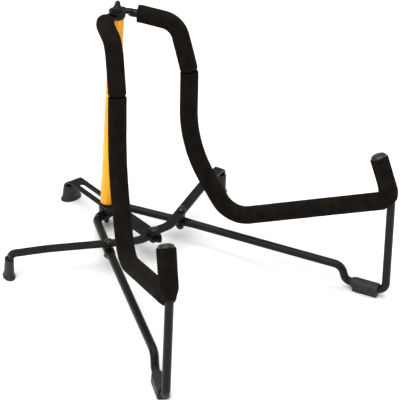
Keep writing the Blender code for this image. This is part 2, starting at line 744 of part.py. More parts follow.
def make_yoke_cap(side):
    name = SIDE_NAMES[side]
    top = yoke_point(side, YOKE_LENGTH)
    upward = (top - yoke_point(side, 0)).normalized()
    turn = Vector((0, 0, 1)).rotation_difference(upward).to_matrix().to_4x4()
    dome = [
        (YOKE_CAP_RADIUS * sin(radians(angle)), GAP + YOKE_CAP_RIM + YOKE_CAP_DOME * cos(radians(angle)))
        for angle in range(0, 91, 15)
    ]
    stem = ROD_RADIUS * cos(pi / SIDES)
    profile = dome + [
        (YOKE_CAP_RADIUS, GAP),
        (stem, GAP),
        (stem, -YOKE_CAP_STEM),
        (0, -YOKE_CAP_STEM),
    ]
    cap = turned(name + "_yoke_cap", profile, Matrix.Translation(top) @ turn)
    place(cap, name + "_leg", PLASTIC)


def make_front_foot(side):
    name = SIDE_NAMES[side]
    middle = leg_point(side, FRONT_FOOT_START + FRONT_FOOT_LENGTH / 2, FOOT_ROD_HEIGHT)
    along = Matrix.Translation((middle.x, middle.y, 0)) @ Matrix.Rotation(side * LEG_ANGLE, 4, "Z")
    foot = block(name + "_front_foot", (FRONT_FOOT_WIDTH, FRONT_FOOT_LENGTH), 0, FRONT_FOOT_TOP, along)
    round_edges(foot, FRONT_FOOT_BEVEL)
    path = front_path(side)
    start = where(path, lambda point: leg_reach(side, point), FRONT_FOOT_START - ROD_RADIUS)
    rod = stretch(path, start, start + FRONT_FOOT_LENGTH + ROD_DIAMETER)
    cut(foot, tube(name + "_front_foot_bore", rod, ROD_DIAMETER + 2 * GAP))
    place(foot, name + "_leg", RUBBER)


def make_pivot(side):
    """The rivet that the side bar turns on, with its spacer and nut, at the pressed part of the rod."""
    name = SIDE_NAMES[side]
    body = name + "_leg"
    rod_height = LEFT_ROD_HEIGHT if side == LEFT else RIGHT_ROD_HEIGHT
    bar = LEFT_BAR_HEIGHT if side == LEFT else RIGHT_BAR_HEIGHT
    here = Matrix.Translation(RIVETS[side])
    head = bar + BAR_THICKNESS + GAP
    rod_under = rod_height - ROD_RADIUS
    nut_top = rod_under - GAP
    nut_under = nut_top - RIVET_NUT_THICKNESS
    rivet = rivet_profile(head, nut_under - RIVET_END)
    place(turned(name + "_pivot_rivet", rivet, here), body, HARDWARE)
    rod_over = rod_height + PRESSED_THICKNESS / 2
    spacer = ring_profile(RIVET_HOLE, SPACER_RADIUS, rod_over + 2 * GAP, bar - GAP)
    place(turned(name + "_pivot_spacer", spacer, here, closed=True), body, HARDWARE)
    nut = cylinder(name + "_pivot_nut", RIVET_NUT_ACROSS / sqrt(3), nut_under, nut_top, sides=6, matrix=here)
    cut(nut, cylinder(name + "_pivot_nut_bore", RIVET_HOLE, 0, rod_height, matrix=here))
    place(nut, body, HARDWARE)


def rivet_profile(head, low):
    dome = [
        (RIVET_HEAD_RADIUS * sin(radians(angle)), head + RIVET_HEAD_HEIGHT * cos(radians(angle)))
        for angle in range(0, 91, 15)
    ]
    return dome + [(RIVET_RADIUS, head), (RIVET_RADIUS, low), (0, low)]


# Side bars

def sideways(side, angle):
    return Vector((side * cos(angle), sin(angle), 0))


def side_foot(side):
    return RIVETS[side] + sideways(side, MIDDLE_ANGLE) * MIDDLE_RUN + sideways(side, OUTER_ANGLE) * OUTER_RUN


def side_bar_path(side, height):
    """From past the centre pivot, over the leg's rivet, out, and down into the foot."""
    inner_bend = RIVETS[side] - sideways(side, MIDDLE_ANGLE) * INNER_RUN
    outer_bend = RIVETS[side] + sideways(side, MIDDLE_ANGLE) * MIDDLE_RUN
    inward = (CENTRE_PIVOT - inner_bend).normalized()
    end = side_foot(side) - sideways(side, OUTER_ANGLE) * BAR_THICKNESS / 2
    level = Vector((0, 0, height))
    return bent([
        (CENTRE_PIVOT + inward * BAR_END_MARGIN + level, 0),
        (inner_bend + level, INNER_BEND_RADIUS),
        (outer_bend + level, OUTER_BEND_RADIUS),
        (end + level, BAR_FOOT_BEND_RADIUS),
        (end + Vector((0, 0, SIDE_FOOT_HEIGHT - SOCKET_DEPTH + GAP)), 0),
    ])


def make_side_bar(side):
    name = SIDE_NAMES[side]
    body = name + "_bar"
    height = LEFT_BAR_HEIGHT if side == LEFT else RIGHT_BAR_HEIGHT
    path = side_bar_path(side, height)
    points, widths = rounded_start(path, BAR_WIDTH / 2, BAR_WIDTH)
    bar = strap(name + "_side_bar", points, widths, BAR_THICKNESS)
    for label, spot in (("rivet", RIVETS[side]), ("centre", CENTRE_PIVOT)):
        here = Matrix.Translation(spot)
        low = height - BAR_THICKNESS
        high = height + 2 * BAR_THICKNESS
        cut(bar, cylinder(name + "_side_bar_" + label + "_hole", RIVET_HOLE, low, high, matrix=here))
    place(bar, body, BLACK)

    outward = sideways(side, OUTER_ANGLE)
    here = Matrix.Translation(side_foot(side)) @ Matrix.Rotation(atan2(outward.y, outward.x) - pi / 2, 4, "Z")
    foot = cap_foot(name + "_side_foot", here, SIDE_FOOT_WIDTH, SIDE_FLANGE_WIDTH, SIDE_FOOT_OVAL, SIDE_FOOT_HEIGHT)
    cut(foot, socket(foot.name, here, BAR_WIDTH, SIDE_FOOT_HEIGHT, SOCKET_DEPTH))
    place(foot, body, RUBBER)


def cap_foot(name, here, width, flange_width, oval, height):
    """An oval rubber cap with a spread base, which narrows towards its top."""
    top = width / 2 * FOOT_TAPER
    profile = [
        (0, height),
        (top - FOOT_ROUNDING, height),
        (top - FOOT_ROUNDING * 0.3, height - FOOT_ROUNDING * 0.3),
        (top, height - FOOT_ROUNDING),
        (width / 2, FLANGE_HEIGHT + FOOT_ROUNDING),
        (width / 2 + FOOT_ROUNDING * 0.4, FLANGE_HEIGHT),
        (flange_width / 2, FLANGE_HEIGHT - FOOT_ROUNDING),
        (flange_width / 2, 0),
        (0, 0),
    ]
    return turned(name, profile, here @ Matrix.Diagonal((1, oval, 1, 1)), steps=24)


def socket(name, here, bar_width, height, depth):
    size = (bar_width + 2 * GAP, BAR_THICKNESS + 2 * GAP)
    return block(name + "_socket", size, height - depth, height + depth, here)


def make_centre_rivet():
    """The centre rivet's head and upper shank, which ride on the right bar."""
    here = Matrix.Translation(CENTRE_PIVOT)
    head = RIGHT_BAR_HEIGHT + BAR_THICKNESS + GAP
    place(turned("centre_rivet", rivet_profile(head, RIGHT_BAR_HEIGHT), here), "right_bar", HARDWARE)


# Rear bar

def make_rear_bar():
    height = REAR_BAR_HEIGHT
    nose = -CENTRE_PIVOT_REACH - REAR_BAR_NOSE
    back = REAR_FOOT_Y - BAR_THICKNESS / 2
    path = bent([
        (Vector((0, nose, height)), 0),
        (Vector((0, REAR_CREST_Y, height)), REAR_CREST_RADIUS),
        (Vector((0, back, REAR_FOOT_HEIGHT + REAR_NECK)), REAR_LOWER_RADIUS),
        (Vector((0, back, REAR_FOOT_HEIGHT - REAR_SOCKET_DEPTH + GAP)), 0),
    ])
    points, widths = rounded_start(path, REAR_BAR_NOSE * REAR_NOSE_ROUND, REAR_BAR_WIDTH)
    bar = strap("rear_bar", points, widths, BAR_THICKNESS)

    start = -SLOT_MARGIN
    end = SLIDE_TRAVEL + SLOT_MARGIN
    slot = block("rear_bar_slot", (2 * PIN_HOLE, end - start), height - BAR_THICKNESS,
                 height + 2 * BAR_THICKNESS, Matrix.Translation((0, (start + end) / 2, 0)))
    cut(bar, slot)
    for label, y in (("front", start), ("back", end)):
        here = Matrix.Translation((0, y, 0))
        cut(bar, cylinder("rear_bar_slot_" + label, PIN_HOLE * 1.001, height - 1.5 * BAR_THICKNESS,
                          height + 2.5 * BAR_THICKNESS, matrix=here))
    here = Matrix.Translation(CENTRE_PIVOT)
    cut(bar, cylinder("rear_bar_centre_hole", RIVET_HOLE, height - BAR_THICKNESS,
                      height + 2 * BAR_THICKNESS, matrix=here))
    place(bar, "rear_bar", BLACK)

    foot_here = Matrix.Translation((0, REAR_FOOT_Y, 0))
    foot = cap_foot("rear_foot", foot_here, REAR_FOOT_WIDTH, REAR_FLANGE_WIDTH, REAR_FOOT_OVAL, REAR_FOOT_HEIGHT)
    cut(foot, socket(foot.name, foot_here, REAR_BAR_WIDTH, REAR_FOOT_HEIGHT, REAR_SOCKET_DEPTH))
    place(foot, "rear_bar", RUBBER)


def make_centre_shank():
    """The centre pivot's lower shank and its nut, which ride on the rear bar."""
    here = Matrix.Translation(CENTRE_PIVOT)
    under = REAR_BAR_HEIGHT - GAP
    top = REAR_BAR_HEIGHT + BAR_THICKNESS
    nut_under = under - RIVET_NUT_THICKNESS
    shank = [
        (0, top),
        (RIVET_RADIUS, top),
        (RIVET_RADIUS, nut_under - RIVET_END),
        (0, nut_under - RIVET_END),
    ]
    place(turned("centre_shank", shank, here), "rear_bar", HARDWARE)
    nut = cylinder("centre_nut", RIVET_NUT_ACROSS / sqrt(3), nut_under, under, sides=6, matrix=here)
    cut(nut, cylinder("centre_nut_bore", RIVET_HOLE, 0, REAR_BAR_HEIGHT, matrix=here))
    place(nut, "rear_bar", HARDWARE)


clear_scene()
PARTS = make_collection("guitar_stand")
CUTTERS = make_collection("guitar_stand_cutters")
AXES = make_axes()
BLACK = make_material("satin_black_paint", (0.022, 0.022, 0.021), 0.38, 0.0)
YELLOW = make_material("yellow_paint", (0.95, 0.42, 0.02), 0.35, 0.0)
FOAM = make_material("black_foam", (0.012, 0.010, 0.009), 0.95, 0.0)
RUBBER = make_material("grey_black_rubber", (0.032, 0.032, 0.030), 0.75, 0.0)
PLASTIC = make_material("black_plastic", (0.020, 0.020, 0.020), 0.30, 0.0)
HARDWARE = make_material("blackened_steel", (0.030, 0.030, 0.030), 0.35, 0.6)

make_post()
make_hub_fasteners()
for leg_side in (LEFT, RIGHT):
    make_front_tube(leg_side)
    make_back_tube(leg_side)
    make_foam(leg_side)
    make_yoke_cap(leg_side)
    make_front_foot(leg_side)
    make_pivot(leg_side)
    make_side_bar(leg_side)
make_centre_rivet()
make_rear_bar()
make_centre_shank()
print("Hub at y", HUB_Y, "and rear bar travel", SLIDE_TRAVEL)
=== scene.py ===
# Folding guitar stand: fine surfaces and finishes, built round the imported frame.
# Lengths are in metres, and the floor is Z = 0. The guitar sits towards -Y.
import json
from math import atan2, ceil, cos, pi, radians, sin, sqrt, tan

import bmesh
import bpy
from mathutils import Matrix, Vector, noise


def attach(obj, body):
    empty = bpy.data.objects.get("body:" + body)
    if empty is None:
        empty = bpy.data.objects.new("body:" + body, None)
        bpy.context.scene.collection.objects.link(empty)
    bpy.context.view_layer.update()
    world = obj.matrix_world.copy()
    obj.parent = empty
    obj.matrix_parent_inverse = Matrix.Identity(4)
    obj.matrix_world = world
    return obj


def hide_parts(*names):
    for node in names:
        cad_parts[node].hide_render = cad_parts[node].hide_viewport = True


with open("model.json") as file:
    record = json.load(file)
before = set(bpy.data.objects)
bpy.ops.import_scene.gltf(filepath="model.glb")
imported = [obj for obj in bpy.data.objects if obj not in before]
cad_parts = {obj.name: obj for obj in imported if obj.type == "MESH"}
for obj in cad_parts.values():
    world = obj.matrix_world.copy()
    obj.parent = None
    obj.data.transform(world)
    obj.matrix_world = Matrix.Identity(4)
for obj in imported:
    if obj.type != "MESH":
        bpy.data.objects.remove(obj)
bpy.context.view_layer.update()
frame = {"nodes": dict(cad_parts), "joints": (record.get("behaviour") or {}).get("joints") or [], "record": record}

print("Frame loaded with", len(frame["nodes"]), "pieces")

left = -1  # the leg nearer the camera
right = 1
sideNames = {left: "left", right: "right"}
places = {joint["name"]: joint["pos_m"] for joint in frame["joints"] if "pos_m" in joint}
hub = Vector((0, places["left_leg_fold"][1], 0))
upward = Vector((0, 0, 1))
gap = 0.0003  # between pieces that touch
endCut = 0.0003  # chamfer on the end of a shank
edgeCut = 0.0002  # chamfer on a turned piece's edge
drillBelow = 0.002  # a drill starts this far under thin stock's lower face
drillAbove = 0.005  # and ends this far over it


# Camera, standing where the photograph was taken from

viewPoint = {
    "place": (-1.009109, -1.193299, 1.026657),  # from the hub's foot
    "across": (0.752540, -0.654827, 0.069893),
    "upward": (0.308206, 0.443998, 0.841353),
    "lens": 167.806,
    "sensor": 36,
}


def makeCamera():
    across = Vector(viewPoint["across"]).normalized()
    top = Vector(viewPoint["upward"]).normalized()
    turn = Matrix((across, top, across.cross(top))).transposed().to_4x4()
    data = bpy.data.cameras.new("photo_camera")
    data.lens = viewPoint["lens"]
    data.sensor_width = viewPoint["sensor"]
    camera = bpy.data.objects.new("photo_camera", data)
    bpy.context.scene.collection.objects.link(camera)
    camera.matrix_world = Matrix.Translation(Vector(viewPoint["place"]) + hub) @ turn
    bpy.context.scene.camera = camera


makeCamera()
print("Camera set")


# Materials. In a look, patch is the width of a patch of colour, grain that of a bump, and depth its height.

patches = {"colourFrom": 0.35, "colourTo": 0.65, "colourDetail": 3,
           "roughFrom": 0.3, "roughTo": 0.7, "roughDetail": 4}


def linear(hexColour):
    # sRGB hex to the linear colour that the shader works in
    parts = [int(hexColour[index:index + 2], 16) / 255 for index in (1, 3, 5)]
    return [part / 12.92 if part <= 0.04045 else ((part + 0.055) / 1.055) ** 2.4 for part in parts] + [1]


def addNode(material, kind, links=(), values=(), **settings):
    # One node, with its settings, its fixed inputs and what its inputs are linked to
    node = material.node_tree.nodes.new(kind)
    for key, value in settings.items():
        setattr(node, key, value)
    for key, value in dict(values).items():
        node.inputs[key].default_value = value
    for key, source in dict(links).items():
        material.node_tree.links.new(source, node.inputs[key])
    return node


def addNoise(material, place, size, detail):
    pattern = addNode(material, "ShaderNodeTexNoise", {"Vector": place},
                      {"Scale": 1 / size, "Detail": detail})
    return pattern.outputs["Fac"]


def addBump(material, shader, height, look):
    bump = addNode(material, "ShaderNodeBump", {"Height": height},
                   {"Strength": look["strength"], "Distance": look["depth"]})
    material.node_tree.links.new(bump.outputs["Normal"], shader.inputs["Normal"])


def startMaterial(name, shaderValues):
    material = bpy.data.materials.new(name)
    material.use_nodes = True
    shader = material.node_tree.nodes["Principled BSDF"]
    for key, value in shaderValues.items():
        shader.inputs[key].default_value = value
    place = addNode(material, "ShaderNodeTexCoord").outputs["Object"]
    return material, shader, place


def varyColour(material, shader, place, look):
    # A slow drift between two close shades
    pattern = addNoise(material, place, look["patch"], look.get("detail", patches["colourDetail"]))
    spread = addNode(material, "ShaderNodeMapRange", {"Value": pattern},
                     {"From Min": patches["colourFrom"], "From Max": patches["colourTo"]})
    mix = addNode(material, "ShaderNodeMix", {"Factor": spread.outputs["Result"]}, data_type="RGBA")
    shades = dict(zip("AB", look["shades"]))
    for socket in mix.inputs:
        if socket.type == "RGBA":
            socket.default_value = linear(shades[socket.name])
    colour = [socket for socket in mix.outputs if socket.type == "RGBA"][0]
    material.node_tree.links.new(colour, shader.inputs["Base Color"])


def varyRoughness(material, shader, place, look):
    low, high = look["roughness"]
    pattern = addNoise(material, place, look["roughPatch"], patches["roughDetail"])
    spread = addNode(material, "ShaderNodeMapRange", {"Value": pattern},
                     {"From Min": patches["roughFrom"], "From Max": patches["roughTo"],
                      "To Min": low, "To Max": high})
    material.node_tree.links.new(spread.outputs["Result"], shader.inputs["Roughness"])


def makeFinish(name, shaderValues, look):
    # Drifting colour, and the drifting roughness and noisy bump of a look that has them
    material, shader, place = startMaterial(name, shaderValues)
    varyColour(material, shader, place, look)
    if "roughness" in look:
        varyRoughness(material, shader, place, look)
    if "grain" in look:
        addBump(material, shader, addNoise(material, place, look["grain"], look["grainDetail"]), look)
    return material


def makeCoatedSteel():
    # Powder-coated steel: fused black powder has a faint orange peel, so its highlights are long
    # but a little broken. The peel is about 1 mm wide, and is drawn at 1.6 mm so that it shows.
    look = {"shades": ("#0a0a09", "#111110"), "patch": 0.012, "roughness": (0.30, 0.42), "roughPatch": 0.006,
            "grain": 0.0016, "grainDetail": 2, "strength": 0.5, "depth": 0.00005}
    return makeFinish("powderCoatedSteel", {
        "IOR": 1.5, "Coat Weight": 0.03, "Coat Roughness": 0.16, "Specular IOR Level": 0.15}, look)


def makeFoamRubber():
    # Extruded nitrile foam: open cells at the skin drink the light, so it is a matt, warm black,
    # faintly mottled. Real cells are 0.3 to 0.5 mm, and are drawn at 0.9 mm so that a grain shows.
    look = {"shades": ("#0f0c0a", "#181410"), "patch": 0.009, "detail": 6, "cell": 0.0009,
            "grain": 0.0018, "grainDetail": 5, "grainRoughness": 0.7, "strength": 0.6, "depth": 0.00018}
    material, shader, place = startMaterial("extrudedNitrileFoam", {
        "Roughness": 0.93, "IOR": 1.45, "Specular IOR Level": 0.06})
    varyColour(material, shader, place, look)
    cells = addNode(material, "ShaderNodeTexVoronoi", {"Vector": place}, {"Scale": 1 / look["cell"]})
    grain = addNode(material, "ShaderNodeTexNoise", {"Vector": place},
                    {"Scale": 1 / look["grain"], "Detail": look["grainDetail"],
                     "Roughness": look["grainRoughness"]})
    both = addNode(material, "ShaderNodeMath", {0: cells.outputs["Distance"], 1: grain.outputs["Fac"]},
                   operation="ADD")
    addBump(material, shader, both.outputs["Value"], look)
    return material


def makeYellowEnamel():
    # Stoved enamel on steel tube: a clear, even yellow with a bright soft line down each side
    look = {"shades": ("#f8a200", "#ffb203"), "patch": 0.030, "grain": 0.0025, "grainDetail": 2,
            "strength": 0.35, "depth": 0.00003}
    return makeFinish("stovedYellowEnamel", {
        "Roughness": 0.32, "IOR": 1.5, "Specular IOR Level": 0.35,
        "Coat Weight": 0.2, "Coat Roughness": 0.12}, look)


def makeMouldedRubber():
    # Moulded rubber: dark grey and satin, with the mould's fine spark grain and paler, dusty patches
    look = {"shades": ("#181817", "#252523"), "patch": 0.006, "roughness": (0.42, 0.58), "roughPatch": 0.006,
            "grain": 0.0005, "grainDetail": 3, "strength": 0.5, "depth": 0.00004}
    return makeFinish("mouldedNaturalRubber", {"IOR": 1.52, "Specular IOR Level": 0.25}, look)


def makeMouldedPlastic():
    # Moulded polypropylene: glossy black, so a cap mirrors the light above it, softened by flow ripple
    look = {"shades": ("#080808", "#0d0d0d"), "patch": 0.008, "roughness": (0.26, 0.34), "roughPatch": 0.008,
            "grain": 0.004, "grainDetail": 2, "strength": 0.4, "depth": 0.00001}
    return makeFinish("mouldedPolypropylene", {
        "IOR": 1.49, "Coat Weight": 0.1, "Coat Roughness": 0.15}, look)


def makeBlackenedSteel():
    # Oxide-blackened steel, pressed and oiled: dark metal with small highlights and a faint forging texture
    look = {"shades": ("#161617", "#242425"), "patch": 0.003, "roughness": (0.22, 0.36), "roughPatch": 0.003,
            "grain": 0.0012, "grainDetail": 3, "strength": 0.15, "depth": 0.00003}
    return makeFinish("oxideBlackenedSteel", {"Metallic": 0.6, "Specular IOR Level": 0.5}, look)


finishes = {
    "black_paint": makeCoatedSteel(),
    "foam": makeFoamRubber(),
    "yellow_paint": makeYellowEnamel(),
    "rubber": makeMouldedRubber(),
    "black_plastic": makeMouldedPlastic(),
    "hardware": makeBlackenedSteel(),
}
nodeSlots = {part["node"]: part["material_slot"] for part in frame["record"]["subparts"]}
print("Materials made:", len(finishes))


# Paths and sections

def bentPath(corners, arcStep=radians(4)):
    # Corners are (point, bend radius), and each bend is an arc
    mostShare = 0.49  # of either straight, for one bend
    path = [corners[0][0]]
    for (before, _), (corner, radius), (after, _) in zip(corners, corners[1:], corners[2:]):
        back = before - corner
        ahead = after - corner
        turn = pi - back.angle(ahead)
        tangent = min(radius * tan(turn / 2), mostShare * min(back.length, ahead.length))
        radius = tangent / tan(turn / 2)
        towards = (back.normalized() + ahead.normalized()).normalized()
        middle = corner + towards * radius / cos(turn / 2)
        first = corner + back.normalized() * tangent - middle
        last = corner + ahead.normalized() * tangent - middle
        normal = first.cross(last).normalized()
        steps = max(2, ceil(turn / arcStep))
        for step in range(steps + 1):
            path.append(middle + Matrix.Rotation(turn * step / steps, 3, normal) @ first)
    path.append(corners[-1][0])
    runs = [0.0]
    for start, end in zip(path, path[1:]):
        runs.append(runs[-1] + (end - start).length)
    return {"points": path, "runs": runs}


def pointAt(path, distance):
    # Past either end, the path runs straight on
    points = path["points"]
    runs = path["runs"]
    for index in range(len(points) - 1):
        if distance <= runs[index + 1] or index == len(points) - 2:
            share = (distance - runs[index]) / (runs[index + 1] - runs[index])
            return points[index].lerp(points[index + 1], share)


def distanceWhere(path, measure, value):
    # How far along the path its measure first passes the value
    for index in range(len(path["points"]) - 1):
        first = measure(path["points"][index]) - value
        second = measure(path["points"][index + 1]) - value
        if first * second <= 0 and first != second:
            run = path["runs"]
            return run[index] + (run[index + 1] - run[index]) * first / (first - second)


def ease(share):
    share = max(0, min(1, share))
    return share * share * (3 - 2 * share)


def between(first, second, share):
    return first + (second - first) * share


def roundedBox(halfWidth, halfHeight, corner, perCorner=10):
    corner = min(corner, halfWidth, halfHeight)
    outline = []
    for quarter, (x, y) in enumerate(((1, 1), (-1, 1), (-1, -1), (1, -1))):
        for step in range(perCorner):
            angle = pi / 2 * (quarter + (step + 0.5) / perCorner)
            outline.append((x * (halfWidth - corner) + corner * cos(angle),
                            y * (halfHeight - corner) + corner * sin(angle)))
    return outline


def roundSection(radius, perCorner=10):
    # A circle whose points match a rounded box's, one for one
    return roundedBox(radius, radius, radius, perCorner)


def circle(radius, steps=48):
    angles = [2 * pi * step / steps for step in range(steps)]
    return [(radius * cos(angle), radius * sin(angle)) for angle in angles]


def hexagon(across, limit, steps=48):
    # Its corners are cut back to a circle of the limit's radius
    outline = []
    for step in range(steps):
        angle = 2 * pi * step / steps
        radius = min(across / 2 / cos((angle + pi / 6) % (pi / 3) - pi / 6), limit)
        outline.append((radius * cos(angle), radius * sin(angle)))
    return outline


def sweep(path, rings):
    # Rings are (distance, outline). Across stays level wherever the path is nearly level.
    nearlyUpright = 0.05
    nearlyLevel = 0.7
    step = 0.0003
    swept = []
    across = None
    for distance, outline in rings:
        middle = pointAt(path, distance)
        along = (pointAt(path, distance + step) - pointAt(path, distance - step)).normalized()
        level = along.cross(upward)
        if across is None:
            across = level if level.length > nearlyUpright else Vector((1, 0, 0))
        if level.length > nearlyLevel:
            across = level if level.dot(across) > 0 else -level
        across = (across - along * across.dot(along)).normalized()
        upright = across.cross(along)
        swept.append([middle + across * x + upright * y for x, y in outline])
    return swept


def stacked(rings, place=Matrix()):
    # Rings are (height, outline), standing on one axis
    return [[place @ Vector((x, y, height)) for x, y in outline] for height, outline in rings]


def turned(profile, place=Matrix(), oval=1.0, sides=64):
    # A profile of (radius, height) points, turned about its axis
    rings = [(height, [(radius * x, radius * oval * y) for x, y in circle(1, sides)])
             for radius, height in profile]
    return stacked(rings, place)


def arcProfile(middleRadius, middleHeight, radius, startAngle, endAngle, steps=8):
    # Angles in degrees, from straight outwards. A point is (radius, height).
    points = []
    for step in range(steps + 1):
        angle = radians(between(startAngle, endAngle, step / steps))
        points.append((middleRadius + radius * cos(angle), middleHeight + radius * sin(angle)))
    return points


def domeProfile(radius, base, height):
    # From the crown to the rim, starting a hair off the axis
    offAxis = 0.00002
    return [(radius * sin(radians(angle)) + offAxis, base + height * cos(radians(angle)))
            for angle in range(0, 91, 6)]


def lowEnd(radius, low):
    # The lower end of a turned piece, with its edge cut back
    return [(radius, low + endCut), (radius - endCut, low)]


def skin(name, rings, looped=False):
    # A closed surface through rings of points. A looped one joins its last ring to its first.
    shape = bmesh.new()
    rows = [[shape.verts.new(point) for point in ring] for ring in rings]
    pairs = list(zip(rows, rows[1:]))
    if looped:
        pairs.append((rows[-1], rows[0]))
    count = len(rows[0])
    for first, second in pairs:
        for index in range(count):
            after = (index + 1) % count
            shape.faces.new((first[index], first[after], second[after], second[index]))
    if not looped:
        shape.faces.new(list(reversed(rows[0])))
        shape.faces.new(rows[-1])
    bmesh.ops.recalc_face_normals(shape, faces=shape.faces)
    mesh = bpy.data.meshes.new(name)
    shape.to_mesh(mesh)
    shape.free()
    piece = bpy.data.objects.new(name, mesh)
    bpy.context.scene.collection.objects.link(piece)
    return piece


def settle(piece):
    # The modifiers' result becomes the piece's own mesh
    bpy.context.view_layer.update()
    graph = bpy.context.evaluated_depsgraph_get()
    mesh = bpy.data.meshes.new_from_object(piece.evaluated_get(graph))
    piece.modifiers.clear()
    piece.data = mesh


def shapeWith(piece, helper, operation="DIFFERENCE"):
    cut = piece.modifiers.new("shape", "BOOLEAN")
    cut.operation = operation
    cut.solver = "EXACT"
    cut.object = helper
    settle(piece)
    bpy.data.objects.remove(helper, do_unlink=True)


def drill(piece, place, radius, low, high):
    bit = turned([(radius, low), (radius, high)], Matrix.Translation(place), sides=40)
    shapeWith(piece, skin("drill", bit))


def drillThin(piece, place, radius, face):
    # Right through thin stock, whose lower face is at the height given
    drill(piece, place, radius, face - drillBelow, face + drillAbove)


def fit(piece, body, node, sharpAngle=38):
    # The piece stands for a node of the frame, moves with its body and takes its finish
    piece.data.materials.clear()
    piece.data.materials.append(finishes[nodeSlots[node]])
    piece.data.shade_smooth()
    piece.data.set_sharp_from_angle(angle=radians(sharpAngle))
    weighted = piece.modifiers.new("flatFaces", "WEIGHTED_NORMAL")
    weighted.keep_sharp = True
    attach(piece, body)
    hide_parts(node)
    return piece


# Sizes that several pieces share, and the heights of the stack on the hub's bolt

rod = {"radius": 0.004, "eyeThickness": 0.0028, "eyeRadius": 0.008, "neckHalfWidth": 0.00575,
       "flatLength": 0.0105, "rampLength": 0.0065, "eyeRounding": 0.0005, "copeRadius": 0.0043,
       "copeReach": 0.012}
legs = {"angle": radians(26.5), "offset": 0.0095, "spread": 0.0057, "topBarHeight": 0.232}
bolt = {"radius": 0.00275, "hole": 0.00305, "end": 0.0006}
bar = {"width": 0.010, "thickness": 0.0025, "rounding": 0.00045, "perCorner": 4}
post = {"radius": 0.0072, "wall": 0.001, "length": 0.2044, "flange": 0.0008, "rim": 0.0008,
        "plugDepth": 0.009}
lowNut = {"across": 0.009, "low": 0.0082, "thickness": 0.003}
bush = {"radius": 0.0084, "thickness": 0.004, "edge": 0.0005}
washer = {"radius": 0.0046, "thickness": 0.0008}

lowEyes = {left: lowNut["low"] + lowNut["thickness"] + gap}
lowEyes[right] = lowEyes[left] + rod["eyeThickness"] + gap
bushLow = lowEyes[right] + rod["eyeThickness"] + gap
rearBarLow = bushLow + bush["thickness"] + gap
plugLow = rearBarLow + bar["thickness"] + gap
postLow = plugLow + post["flange"] + gap
postHigh = postLow + post["length"]
topEyes = {left: postHigh + gap + post["rim"] + gap}
topEyes[right] = topEyes[left] + rod["eyeThickness"] + gap
washerLow = topEyes[right] + rod["eyeThickness"] + gap
capNutLow = washerLow + washer["thickness"] + gap
sideBarLow = {left: rearBarLow + bar["thickness"] + gap}
sideBarLow[right] = sideBarLow[left] + bar["thickness"] + gap


# Legs: two bent rods each. Reach runs along the leg from the hub, and offset sideways from that line.

pivot = {"reach": 0.0736, "offset": 0.0144, "hole": 0.0028, "rodHeights": {left: 0.0185, right: 0.0178},
         "pressedHalfHeight": 0.003, "pressedHalfWidth": 0.00525, "pressedHalfLength": 0.006, "ramp": 0.008,
         "drillLow": 0.005, "drillHigh": 0.030}
yoke = {"reach": 0.2824, "lean": radians(23.8), "length": 0.0438, "bend": 0.025, "armRise": radians(23.4),
        "capStem": 0.004}
cradle = {"reach": 0.1265, "height": 0.0413, "bend": 0.026}
frontRod = {"hubReach": 0.012, "hubOffset": 0.013, "hubBend": 0.008, "pivotBend": 0.060,
            "stepReach": 0.2436, "stepHeight": 0.0225, "stepBend": 0.010, "heelReach": 0.2495,
            "heelBend": 0.008, "reach": 0.290, "bend": 0.0085, "footHeight": 0.0074}
backRod = {"levelRun": 0.0095, "levelBend": 0.006, "hubReach": 0.008, "hubOffset": 0.0125, "hubBend": 0.008,
           "topReach": 0.018, "topBend": 0.010, "shoulderReach": 0.0548, "shoulderBend": 0.019,
           "backReach": 0.0713, "backHeight": 0.187, "backBend": 0.040,
           "waistReach": 0.0767, "waistHeight": 0.1081, "waistBend": 0.165}
yokeHeight = cradle["height"] + (yoke["reach"] - cradle["reach"]) * tan(yoke["armRise"])


def legPoint(side, reach, height, offset=None):
    if offset is None:
        offset = legs["offset"] + legs["spread"] * (height / legs["topBarHeight"]) ** 2
    x = side * (reach * sin(legs["angle"]) + offset * cos(legs["angle"]))
    y = offset * sin(legs["angle"]) - reach * cos(legs["angle"])
    return hub + Vector((x, y, height))


def legReach(side, point):
    return point.x * side * sin(legs["angle"]) - (point.y - hub.y) * cos(legs["angle"])


def yokePoint(side, up):
    return legPoint(side, yoke["reach"] - up * sin(yoke["lean"]), yokeHeight + up * cos(yoke["lean"]))


def frontPath(side):
    eye = lowEyes[side] + rod["eyeThickness"] / 2
    return bentPath([
        (hub + upward * eye, 0),
        (legPoint(side, frontRod["hubReach"], eye, frontRod["hubOffset"]), frontRod["hubBend"]),
        (legPoint(side, pivot["reach"], pivot["rodHeights"][side], pivot["offset"]), frontRod["pivotBend"]),
        (legPoint(side, frontRod["stepReach"], frontRod["stepHeight"]), frontRod["stepBend"]),
        (legPoint(side, frontRod["heelReach"], frontRod["footHeight"]), frontRod["heelBend"]),
        (legPoint(side, frontRod["reach"], frontRod["footHeight"]), frontRod["bend"]),
        (legPoint(side, yoke["reach"], yokeHeight), yoke["bend"]),
        (yokePoint(side, yoke["length"] - yoke["capStem"] - gap), 0),
    ])


